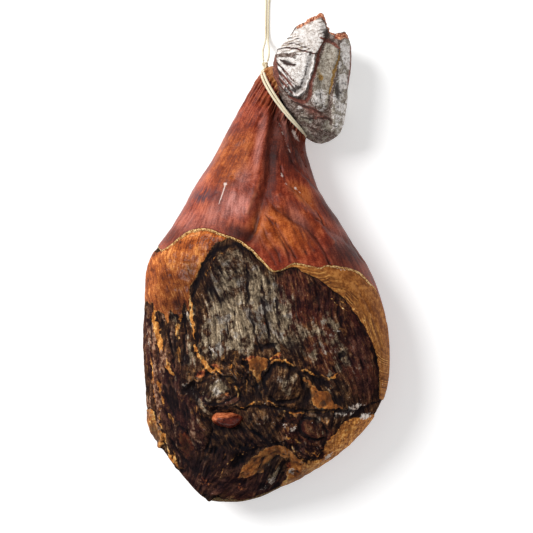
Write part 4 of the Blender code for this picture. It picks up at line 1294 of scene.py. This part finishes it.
def face_values(u, v):
    """The heights and the named values that the cut face's material reads."""
    where = flat_points(u, v)
    warp_u = u + 1.7 * rough(where, 9, 3, 1) + 0.9 * noise(where, 2.6, 5)
    warp_v = v + 1.7 * rough(where, 9, 3, 2) + 0.9 * noise(where, 2.6, 6)
    warped = flat_points(warp_u, warp_v)
    angle = blended_directions(u, v)
    direction = np.stack([np.cos(angle), np.sin(angle), np.zeros(len(u))], axis=1)
    wide, narrow = streaks(where, direction, 12.0, 4.2, 3), streaks(where, direction, 3.2, 1.9, 4)
    across, onward = fibre_places(u, v)
    fibred = flat_points(across, onward)
    crack = np.maximum(cracks(fibred, (7, 44, 7), 70), 0.7 * cracks(fibred, (4, 24, 5), 71))
    crack *= ease(noise(warped, 9, 72), -0.1, 0.5)

    smoked_depth = depth_inside(warp_u, warp_v, SMOKED_FAT) + 15 * wide * ease(-v, 15, 60)
    smoked = ease(smoked_depth, -2.0, 4.0 + 7.0 * ease(-v, 20, 50))
    strip_depth = depth_inside(u + 0.8 * noise(where, 7, 8), v + 0.8 * noise(where, 7, 9), FAT_STRIP)
    strip = ease(strip_depth, -0.5, 0.7)
    low_fat, side_fat, patch, wedge, tissue = regions(warp_u, warp_v, (
        (LOW_FAT, -1, 2), (SIDE_FAT, -1, 1), (FAT_PATCH, -1, 1.5), (FAT_WEDGE, -1, 1.5),
        (RED_TISSUE, -1.5, 2),
    ))
    fat = np.maximum.reduce([smoked, strip, low_fat, side_fat, patch, wedge, 0.9 * tissue])
    calm = np.maximum.reduce([strip, smoked, 0.6 * low_fat])
    lively = 1 - calm

    height, seams, dark_and_shade = line_relief(u, v, warp_u, warp_v)
    pits = spread(warp_u, warp_v, PITS)
    dark_and_shade = np.maximum(dark_and_shade, pits)
    knobs = np.maximum.reduce([blob(warp_u, warp_v, *row[:5], 6.0) for row in RINGS])
    torn = np.clip(spread(u, v, TORN, 3.0), 0, 1) * lively * (1 - 0.75 * knobs)
    lumps = ridged(warped + 0.3 * fibred, (13, 19, 13), 51) + 0.4 * ridged(warped, (6, 8, 6), 55, 2)
    bands = ridged(fibred, (11, 60, 11), 80, 2) * np.clip(spread(u, v, BANDED, 3.0), 0, 1) * lively
    height += 2.2 * torn * lumps - 1.8 * pits
    height += 2.2 * strip + 0.8 * smoked + 2.2 * low_fat + 3.0 * side_fat + 0.6 * patch + 1.2 * wedge
    height += (1 - 0.75 * calm) * (1.2 * wide + 0.8 * narrow - 1.0 * crack) + 2.0 * bands
    height += 0.8 * rough(where, 14, 3, 10) * (1 - 0.7 * strip) + 0.7 * smoked * rough(where, 9, 3, 83)

    shift = noise(fibred, (3.5, 60, 5), 86) + 0.6 * noise(fibred, (1.6, 30, 5), 87)
    mould_u = warp_u + 4 * noise(where, 20, 85) + 9 * shift * np.cos(angle)
    mould_v = warp_v + 4 * noise(where, 20, 88) + 9 * shift * np.sin(angle)
    muscle = ease(depth_inside(mould_u, mould_v, TOP_MUSCLE), -2, 6)
    patchy = np.clip(0.7 + 0.9 * rough(where, 8, 3, 76), 0, 1.2)
    mould = np.clip(spread(mould_u, mould_v, MOULD, 2.0) * patchy + 0.25 * muscle, 0, 1)
    fleshy = ease(noise(where, 7, 77), 0.3, 0.6)
    from_rind, place = distance_to(u, v, smooth_path(RIND_EDGE, 3))
    waxy = ease(strip_depth + 2 * noise(where, 12, 81), 9, 17)
    tone = 1 + summed(warp_u, warp_v, FACE_TONES) + lively * (0.35 * wide + 0.25 * narrow)
    return height, {
        "across": np.where(strip > 0.5, from_rind, across),
        "along": np.where(strip > 0.5, RIND_EDGE_LENGTH * place, onward),
        "fat": fat,
        "seam": seams,
        "rim": ease(bands, 0.1, 0.6) * lively,
        "tan": np.maximum.reduce([strip, 0.5 * low_fat, 0.9 * wedge, 0.9 * patch, 0.7 * tissue]),
        "waxy": np.maximum.reduce([waxy, wedge, patch, tissue]),
        "smoke": smoked,
        "mould": mould * (1 - fat) * (1 - seams),
        "maroon": spread(u, v, MAROON),
        "wine": np.maximum(spread(warp_u, warp_v, WINE), 0.8 * low_fat * fleshy),
        "red": np.maximum(spread(warp_u, warp_v, RED), 0.6 * tissue) * (1 - 0.5 * crack),
        "pale": spread(warp_u, warp_v, PALE_AND_GLINTS, 2.0),
        "veins": np.clip(np.maximum(torn, spread(u, v, VEINED)), 0, 1) * lively * (1 - 0.8 * knobs),
        # Painted shade in the grooves, rings, pits and cracks between fibres.
        "dark_and_shade": np.clip(dark_and_shade + 0.45 * crack * lively - 0.2 * bands, 0, 1) * (1 - 0.75 * calm),
        "tone": np.clip(tone, 0.15, 2.0),
    }


def face_piece(name, angles, start, end, rows):
    """A part of the cut face between two sets of places along the leg."""
    places = even_places(start, end, angles, rows).ravel()
    angle = np.tile(angles, rows)
    points, out = leg_surface(places, angle), leg_normals(places, angle)
    height, values = face_values(*seen_from_above(points))
    top = ease(np.sin(angle), 0.0, 0.4)
    near_rind = 1 - ease(np.tile(rind_edge_places(angles), rows) - places, 0.0, 0.10)
    height = height * (0.5 + 0.5 * top) - RIND_THICKNESS * (0.3 + 0.7 * top)
    height -= 1.2 * near_rind * top
    grid = rows, len(angles)
    values["relief_shade"] = relief_shade(height, grid)
    points = points + out * height[:, None]
    faces = faces_between(np.arange(len(points)).reshape(grid))
    return add_piece(name, points, faces, values, face_finish(name), ["ham"])


def add_cut_face():
    """The cut face in two pieces that meet in its main crease."""
    angles = even_angles(-SIDE_LAP, math.pi + SIDE_LAP, FACE_COLUMNS)
    crease = crossing_places(angles, CREASE)
    under_rind = rind_edge_places(angles) + 0.03
    face_piece("cut_face_lower", angles, np.full(len(angles), HIP_PLACE), crease, LOWER_ROWS)
    face_piece("cut_face_upper", angles, crease, under_rind, UPPER_ROWS)


# ---------------------------------------------------------------- the rind


def rind_values(points, places, angles):
    """Heights and named values of the rind."""
    u, v = seen_from_above(points)
    where = flat_points(u, v)
    upper = ease(np.sin(angles), -0.05, 0.15)
    warp_u = u + 2.0 * noise(where, 16, 3) + 0.8 * noise(where, 5, 4)
    warp_v = v + 2.0 * noise(where, 16, 5)
    height, dark_and_shade = np.zeros(len(u)), np.zeros(len(u))
    uneven = np.clip(0.8 + 0.7 * noise(where, 15, 82), 0, 1)
    # Narrow folds are painted with shade along them and, more faintly, beside them.
    for half_width, amount, path in FOLDS:
        line = stroke(warp_u, warp_v, half_width, path)
        if half_width < 4:
            line *= uneven
            shade = 0.5 * uneven * stroke(warp_u, warp_v, 2.4 * half_width, path)
            dark_and_shade = np.maximum.reduce([dark_and_shade, 0.65 * line, shade])
        height += amount * line
    to_neck = NECK_STATION - places
    pleated = ease(to_neck, -0.15, 0.1) * (1 - ease(to_neck + 0.5 * noise(where, 10, 12), 0.3, 2.1))
    phase = PLEATS * angles + 2.0 * noise(where, (16, 40, 14), 6) + 0.6 * noise(where, (6, 30, 5), 7)
    pleat = 1 - np.abs(np.sin(phase / 2)) * 2
    height += PLEAT_DEPTH * pleat * pleated * (0.75 + 0.25 * noise(where, 9, 2))
    height += 0.4 * PLEAT_DEPTH * np.sin(1.7 * phase) * pleated**2
    across, onward = angles * RADIAN_LENGTH, places * STATION_LENGTH
    lengthwise = flat_points(across, onward)
    ripples = noise(lengthwise, (5, 44, 5), 61) + 0.5 * noise(lengthwise, (2.4, 18, 5), 62)
    height += 0.28 * ripples * upper
    height *= 0.25 + 0.75 * upper
    height += 1.5 * rough(points, 46, 2, 4) + 0.18 * rough(points, 7, 3, 5)
    behind = (1 - upper) * np.clip(0.5 + 0.9 * rough(points, 60, 4, 64), 0, 1)
    left = (1 - ease(u + 0.35 * v, -20, 40)) * ease(v + 0.4 * u, 40, 110)
    flaky = np.clip(0.5 + 1.0 * noise(where, 5, 84), 0, 1)
    # The dark places hold maroon skin and painted shade in the valley and above the rind's edge; the tones
    # hold painted shade there and painted sheen.
    dark_and_shade = np.maximum(dark_and_shade, spread(u, v, RIND_DARK_AND_SHADE, 2.2)) * upper
    tone = 1 + summed(u, v, RIND_TONES_SHADE_AND_SHEEN) * upper - 0.7 * ease(-v, 200, 290)
    return height, {
        "across": across,
        "along": onward,
        "tan": np.clip((0.8 * left + spread(u, v, RIND_TAN)) * upper + 0.5 * behind, 0, 1),
        "dark_and_shade": np.clip(dark_and_shade + 0.55 * (1 - upper) - 0.4 * behind, 0, 1),
        "amber": ease(places, 13.74, 13.92) * upper,
        "violet": blob(u, v, *SMUDGE, 3.0),
        "salt": np.maximum.reduce([
            strokes(u, v, SCRATCHES),
            flaky * strokes(u, v, FLAKY_SCRATCHES),
            spread(u, v, SALT_SPOTS, 3.0),
            0.55 * behind * ease(noise(points, 5, 66), 0.35, 0.7),
        ]),
        # Painted sheen where light would glint on the skin.
        "painted_sheen": np.clip(spread(u, v, RIND_PAINTED_SHEEN) * upper, 0, 1),
        "tone": np.clip(tone, 0.25, 1.8),
    }


def rind_piece():
    """One skin: the back all along the leg, and the whole shank up to the string."""
    front = RIND_FRONT_COLUMNS
    front_angles = even_angles(-SIDE_LAP, math.pi + SIDE_LAP, front)
    back_angles = even_angles(math.pi + SIDE_LAP, 2 * math.pi - SIDE_LAP, RIND_BACK_COLUMNS + 2)[1:-1]
    angles = np.concatenate([front_angles, back_angles])
    edge = rind_edge_places(front_angles)
    back_edge = np.interp(back_angles, [math.pi, 2 * math.pi], [edge[-1], edge[0]])
    edges = np.concatenate([edge, back_edge])
    side = np.concatenate([[front - 1], np.arange(front, len(angles)), [0]])
    side_angles = np.append(angles[side[:-1]], 2 * math.pi - SIDE_LAP)
    last = np.interp(angles, *np.array(RIND_END).T)
    upper_places = even_places(edges, last, angles, RIND_FRONT_ROWS)
    lower_places = even_places(np.full(len(side), HIP_PLACE), edges[side], side_angles, RIND_BACK_ROWS)[:-1]

    places = np.concatenate([upper_places.ravel(), lower_places.ravel()])
    angle = np.concatenate([np.tile(angles, len(upper_places)), np.tile(side_angles, len(lower_places))])
    points, outs = leg_surface(places, angle), leg_normals(places, angle)
    height, values = rind_values(points, places, angle)
    first = upper_places.size
    # The skin's relief, from which its hollows get painted shade and its crests painted highlights.
    rind_hollow_shade = relief_shade(height[:first], upper_places.shape, closed=True)
    values["relief_shade"] = np.concatenate([rind_hollow_shade, np.full(len(points) - first, 0.5)])
    points = points + outs * height[:, None]
    points[:, 2] = np.maximum(points[:, 2], FLOOR_GAP)

    upper_index = np.arange(first).reshape(upper_places.shape)
    lower_index = first + np.arange(lower_places.size).reshape(lower_places.shape)
    lower_index = np.vstack([lower_index, upper_index[0][side][None]])
    faces = np.vstack([faces_between(upper_index, closed=True), faces_between(lower_index)])
    border = np.concatenate([upper_index[0][:front], lower_index[-2::-1, 0], lower_index[:-1, -1]])
    points, faces = add_lip(points, outs, faces, values, border)
    return add_piece("rind", points, faces, values, rind_finish())


def add_lip(points, outs, faces, values, border):
    """The rind's edge: a slope of cut fat from the border down into the ham."""
    line, line_out = points[border], outs[border]
    off_rind = np.cross(line_out, unit(np.roll(line, -1, axis=0) - np.roll(line, 1, axis=0)))
    wobble = 1 + 0.5 * noise(line, 4.0, 21)[:, None] + 0.3 * noise(line, 1.8, 22)[:, None]
    rings = [line - line_out * down + off_rind * over * wobble for down, over in LIP_STEPS]
    start = len(points)
    points, faces = join_rings(points, faces, values, border, rings)
    values["lip"] = (np.arange(len(points)) >= start).astype(float)
    values["relief_shade"][start:] = 0.5
    low_end = ease(-np.tile(line[:, 1], len(rings)), 60, 130)
    values["tone"][start:] = 1.0 - 0.75 * low_end
    return points, faces


# ---------------------------------------------------------------- the hock


def hock_values(u, v):
    """Heights and named values of the hock's upper side."""
    where = flat_points(u, v)
    wu = u + 0.9 * rough(where, 7, 3, 31) + 0.4 * noise(where, 2, 34)
    wv = v + 0.9 * rough(where, 7, 3, 32) + 0.4 * noise(where, 2, 35)
    ridge, rim, ochre, top_edge = (
        strokes(wu, wv, [line]) for line in (HOCK_RIDGE, HOCK_RIM, HOCK_OCHRE, HOCK_TOP_EDGE)
    )
    folds, torn = strokes(wu, wv, HOCK_FOLDS), strokes(wu, wv, HOCK_TORN)
    face, recess, middle, right = regions(wu, wv, (
        (HOCK_FACE, -1, 2), (HOCK_RECESS, -1, 3), (HOCK_MIDDLE, -1, 3), (HOCK_RIGHT, -1, 3),
    ))
    lobe = 1 - ease(wv + 0.1 * wu, 186, 196)
    smooth, off_ridge = 1 - rim, 1 - ridge

    wavy = np.sin((v - 0.25 * u) / 0.62 + 4.5 * noise(where, 15, 33) + 0.9 * noise(where, 5, 30))
    wrinkles = ease(wavy, 0.0, 0.9) * np.clip(0.8 + 1.0 * noise(where, 8, 29), 0, 1) * face
    fan = ease(np.sin((1.15 * u + v) / 1.25 + 1.4 * noise(where, 8, 39)), -0.2, 0.8)
    fan *= blob(u, v, *HOCK_FAN, 3.0)
    cells = ease(np.abs(noise(where, 4.2, 36)), 0.16, 0.02)
    specks = ease(noise(where, 1.8, 28) + 0.4 * noise(where, 4, 45), 0.35, 0.7)
    netted = cells * np.clip(spread(u, v, [HOCK_NET], 3.0) + 0.35 * recess, 0, 1)
    stipple = specks * np.clip(spread(u, v, [HOCK_STIPPLE], 3.0) + 0.55 * right, 0, 1)
    swirl = ease(np.abs(noise(flat_points(wu, 2.6 * wv), 13, 27)), 0.15, 0.02) * lobe
    clouds = 0.5 + 0.75 * rough(flat_points(wu + 3 * noise(where, 8, 49), wv), 6, 4, 38)

    height = 2.0 * ridge + 1.6 * rim - 2.8 * recess * smooth * off_ridge - 1.8 * folds
    height += -2.0 * middle * off_ridge + 0.9 * ochre + 0.8 * top_edge - 0.9 * wrinkles
    height += 0.8 * rough(where, 9, 4, 37) - 0.5 * stipple - 0.6 * netted - 0.9 * fan
    height += 1.5 * torn * noise(where, 3.0, 46) + 1.2 * lobe * rough(where, 12, 4, 47) + 0.7 * swirl

    white = face - 0.3 * wrinkles + 1.2 * rim + recess * (0.6 + 0.75 * clouds) * (1 - 0.6 * netted)
    white += 1.1 * right * ease(0.6 * clouds + 0.4 * specks, 0.0, 0.6)
    white += spread(u, v, [HOCK_WHITE], 3.0) * (0.6 + 0.4 * clouds)
    white += spread(u, v, [HOCK_CREST], 2.0) + 0.5 * swirl * clouds
    grey = middle + 0.8 * right + 0.5 * recess
    grey += lobe * (0.45 + spread(u, v, [HOCK_GREY], 3.0)) * ease(clouds, 0.3, 0.9)
    stain = summed(u, v, HOCK_STAINS) + 0.35 * face * ease(noise(where, 8, 26), 0.0, 0.5)
    red = spread(u, v, [HOCK_LEFT_FLANK], 3.0) + spread(wu, wv, [HOCK_LOW_FLANK], 3.0)
    red += ridge + 0.9 * (top_edge + strokes(u, v, [HOCK_RIGHT_EDGE]) + fan + folds)
    return height, {
        "wrinkle": 0.9 * wrinkles,
        "white": np.clip(white * off_ridge * (1 - 0.9 * fan) * (1 - top_edge), 0, 1),
        "grey": np.clip(grey, 0, 1),
        "ochre": np.clip(ochre + stain, 0, 1),
        "red": np.clip(red, 0, 1),
        "torn": torn,
        # Dark specks and nets, and painted shade along the folds.
        "dark_and_shade": np.clip(0.4 * folds + 0.6 * stipple + 0.45 * netted + spread(u, v, HOCK_DARK), 0, 1),
    }


def hock_piece():
    """The block of the hock with its two ridges and its torn cut end."""
    rows, columns = grid = HOCK_ROWS, HOCK_COLUMNS
    stations = np.array(HOCK_STATIONS)
    first = stations[1]
    phantom = np.concatenate([first[2:4], first[0:2], first[[5, 4]]])
    t = np.linspace(0.02, len(stations) - 1, rows)
    sections = smooth_through(np.vstack([phantom, stations]), t)
    profile = np.array(HOCK_PROFILE)
    looped = np.vstack([profile[-1], profile, profile[:2]])
    across, up = smooth_through(looped, np.linspace(0, len(profile), columns, endpoint=False)).T
    left_x, left_y, right_x, right_y, low, high = sections.T[:, :, None]
    share = (1 + across) / 2
    growing = np.maximum(0.0, t / (len(stations) - 1) * 4 - 3)[:, None]
    reach = along(CUT_END, across, CUT_END_BLUR) * growing * (1.2 + up) / 2.2
    x = left_x + share * (right_x - left_x)
    y = left_y + share * (right_y - left_y) + reach
    z = (low + high) / 2 + up * (high - low) / 2
    surface = np.stack([x + 0 * z, y, z], axis=-1)
    points, out = surface.reshape(-1, 3), grid_normals(surface).reshape(-1, 3)
    height, values = hock_values(*seen_from_above(points))
    upper = np.tile(ease(up, -0.2, 0.25), rows)
    height = height * upper + 0.6 * rough(points, 12, 4, 41)
    relief = height.reshape(grid)
    # Painted shade in the hollows of the relief, added to the dark places below.
    hock_hollow_shade = (blurred(relief, 14, closed=True) - relief).ravel()
    points = points + out * height[:, None]
    points[:, 2] = np.maximum(points[:, 2], FLOOR_GAP)
    values = {key: value * upper for key, value in values.items()}
    below_grey = np.clip(0.5 + 0.5 * rough(points, 18, 3, 42), 0, 1)
    below_white = ease(rough(points, 22, 4, 43), 0.1, 0.5)
    values["dark_and_shade"] = np.clip(values["dark_and_shade"] + np.maximum(hock_hollow_shade, 0), 0, 1)
    values["grey"] = np.maximum(values["grey"], (1 - upper) * below_grey)
    values["white"] = np.maximum(values["white"], (1 - upper) * below_white)
    index = np.arange(rows * columns).reshape(grid)
    points, faces = close_cut_end(points, faces_between(index, closed=True), values, index[-1])
    return add_piece("hock_end", points, faces, values, hock_finish())


def close_cut_end(points, faces, values, rim):
    """Rings that shrink from the rim into a shallow torn hollow."""
    edge = points[rim]
    middle = edge.mean(axis=0) - np.array([0, CUT_END_HOLLOW, 0])
    rings = []
    for share in CUT_END_RINGS:
        inner = edge + (middle - edge) * share
        inner[:, 1] += 2.2 * rough(inner, 9, 3, 48) * (1 - share)
        rings.append(inner)
    start = len(points)
    points, faces = join_rings(points, faces, values, rim, rings)
    values["torn"][start:] = 0.75
    return points, faces


# ---------------------------------------------------------------- the ball of the thigh bone


def bone_piece():
    """The ball, flatter than its CAD solid towards its edges, where meat covers it."""
    low, high = (np.array(corner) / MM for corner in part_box("femur_head"))
    centre, radii = (low + high) / 2, (high - low) / 2
    tilts = np.linspace(0.02, math.pi - 0.02, BALL_ROWS)
    turns = np.linspace(0, 2 * math.pi, BALL_COLUMNS, endpoint=False)
    tilt, turn = np.meshgrid(tilts, turns, indexing="ij")
    way = np.stack([np.sin(tilt) * np.cos(turn), np.sin(tilt) * np.sin(turn), np.cos(tilt)], axis=-1)
    way = way.reshape(-1, 3)
    points = centre + way * radii
    points[:, 0] += 1.5 * way[:, 0]
    points[:, 1] -= 2.0
    points[:, 2] -= 9.0 * ease(way[:, 1], 0.1, 0.9) + 5.0 * ease(-way[:, 1], 0.4, 1.0)
    points[:, 2] -= 9.0 * ease(np.abs(way[:, 0]) - 0.9 * way[:, 1], 0.7, 1.5)
    points += way * (0.7 * rough(points, 9, 3, 71) - 0.5)[:, None]
    u, v = seen_from_above(points)
    values = {
        # Orange red on the ball's upper left and deep red below and right: partly the cartilage's colour,
        # partly painted light and shade.
        "bright_and_lit": ease(v - 0.3 * (u + 45) + 2.5 * noise(points, 7, 72), -195, -184),
        "rim": ease(v + 1.0 * noise(points, 5, 73), -183, -180),
    }
    faces = faces_between(np.arange(len(points)).reshape(tilt.shape), closed=True)[:, ::-1]
    return add_piece("femur_ball", points, faces, values, bone_finish(), ["femur_head"])


# ---------------------------------------------------------------- the string


def rope(name, path, radius, replaces=(), closed=False):
    """A twisted three-strand string along the path."""
    path = np.asarray(path)
    ahead = np.gradient(path, axis=0)
    if closed:
        ahead = np.roll(path, -1, axis=0) - np.roll(path, 1, axis=0)
    ahead = unit(ahead)
    side = np.empty_like(path)
    side[0] = np.cross(ahead[0], [0.0, 0.3, 1.0])
    for k in range(1, len(path)):
        side[k] = side[k - 1] - ahead[k] * (side[k - 1] @ ahead[k])
        side[k] /= np.linalg.norm(side[k])
    side[0] /= np.linalg.norm(side[0])
    other = np.cross(ahead, side)
    turn = np.linspace(0, 2 * math.pi, ROPE_SIDES, endpoint=False)
    twist = 2 * math.pi * run_along(path)[:, None] / ROPE_PITCH
    lobes = np.abs(np.cos(1.5 * (turn[None] - twist)))
    size = radius * (0.80 + 0.22 * lobes)
    points = path[:, None] + size[..., None] * (
        np.cos(turn)[None, :, None] * side[:, None] + np.sin(turn)[None, :, None] * other[:, None]
    )
    index = np.arange(points.shape[0] * ROPE_SIDES).reshape(-1, ROPE_SIDES)
    if closed:
        index = np.vstack([index, index[:1]])
    faces = faces_between(index, closed=True)[:, ::-1].tolist()
    if not closed:
        faces += [index[0].tolist(), index[-1][::-1].tolist()]
    points = points.reshape(-1, 3)
    return add_piece(name, points, faces, {}, string_finish(), replaces)


def even_path(path, step):
    """The path again with its points a given length apart."""
    run = run_along(path)
    at = np.linspace(0, run[-1], max(2, round(run[-1] / step) + 1))
    return np.stack([np.interp(at, run, path[:, k]) for k in range(3)], axis=1)


def loop_path():
    """Two turns of the string round the neck, side by side, sagging on the upper side."""
    turns = np.linspace(0, 2, 2 * LOOP_POINTS + 1)
    angle = math.pi - 2 * math.pi * turns
    place = np.full(len(turns), float(NECK_STATION))
    left, right = leg_surface(place[:2], np.array([math.pi, 0.0]))
    across = (right - left) / np.linalg.norm(right - left)
    axis = np.cross([0.0, 0.0, 1.0], across)
    rate = ((leg_surface(place + 0.05, angle) - leg_surface(place - 0.05, angle)) / 0.1) @ axis
    side = STRING_SPACING * (turns - 1) + LOOP_SAG * np.clip(np.sin(angle), 0, 1) ** 0.7
    place += side / rate
    return leg_surface(place, angle) + leg_normals(place, angle) * (STRING / 2 + LOOP_CLEARANCE)


def knot_path(centre, size):
    """An overhand knot drawn tight."""
    t = np.linspace(0, 2 * math.pi, 90, endpoint=False)
    across, up = np.sin(t) + 2 * np.sin(2 * t), np.cos(t) - 2 * np.cos(2 * t)
    return centre + np.stack([across, up, -1.4 * np.sin(3 * t)], axis=1) / 3 * size


def add_tail():
    """The doubled string that the ham hangs by, laid out along the surface."""
    path = even_path(smooth_path(TAIL_ROUTE, 8), ROPE_STEP)
    tail = rope("twine_tail", path, STRING / 2, ["string_tail"])


def add_loop():
    """The two turns round the neck and their knot."""
    path = even_path(loop_path(), ROPE_STEP)
    rope("twine_loop", path, LOOP_RADIUS, ["string_loop"])
    knot = (path[0] + path[-1]) / 2 + np.array(KNOT_OFFSET)
    rope("twine_knot", knot_path(knot, np.array(KNOT_SIZE)), KNOT_RADIUS, closed=True)


# ---------------------------------------------------------------- stage


def add_camera():
    """A camera straight above, so that the level plane fills the picture's width."""
    camera = link("camera", bpy.data.cameras.new("camera"))
    camera.data.sensor_width = SENSOR_WIDTH
    camera.data.lens = SENSOR_WIDTH * CAMERA_ABOVE / VIEW_WIDTH
    camera.data.clip_end = 20
    camera.location = (CAMERA_X * MM, CAMERA_Y * MM, (CAMERA_ABOVE + LEVEL) * MM)
    bpy.context.scene.camera = camera


def add_light(name, place, size, power):
    """A round light that faces the origin."""
    light = link(name, bpy.data.lights.new(name, "AREA"))
    light.data.shape = "DISK"
    light.data.size = size
    light.data.energy = power
    light.location = place
    light.rotation_euler = light.location.to_track_quat("Z", "Y").to_euler()


def add_stage():
    """A white floor under a soft light from the upper left and a weaker one from the right."""
    mesh = bpy.data.meshes.new("floor")
    corners = ((-1, -1), (1, -1), (1, 1), (-1, 1))
    mesh.from_pydata([(x * FLOOR_REACH, y * FLOOR_REACH, 0) for x, y in corners], [], [(0, 1, 2, 3)])
    floor = link("floor", mesh)
    mesh.materials.append(Finish("floor_white").set(
        Base_Color=(0.93, 0.93, 0.93),
        Roughness=0.9,
        Specular_IOR_Level=0.1,
        Emission_Color=(1.0, 1.0, 1.0),
        Emission_Strength=FLOOR_GLOW,
    ))
    floor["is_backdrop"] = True
    world = bpy.data.worlds.new("studio")
    world.use_nodes = True
    backdrop = world.node_tree.nodes["Background"]
    backdrop.inputs["Color"].default_value = (1, 1, 1, 1)
    backdrop.inputs["Strength"].default_value = WORLD_STRENGTH
    bpy.context.scene.world = world
    for name, place, size, power in LIGHTS:
        add_light(name, place, size, power)
    bpy.context.scene.view_settings.view_transform = "Standard"


def main():
    """Make every piece."""
    cad_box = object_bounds()
    add_camera()
    add_tail()
    add_stage()
    add_loop()
    add_cut_face()
    rind_piece()
    hock_piece()
    bone_piece()
    boxes = {"cad": cad_box, "visual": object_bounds()}
    boxes = {key: [[float(x) for x in corner] for corner in box] for key, box in boxes.items()}


main()
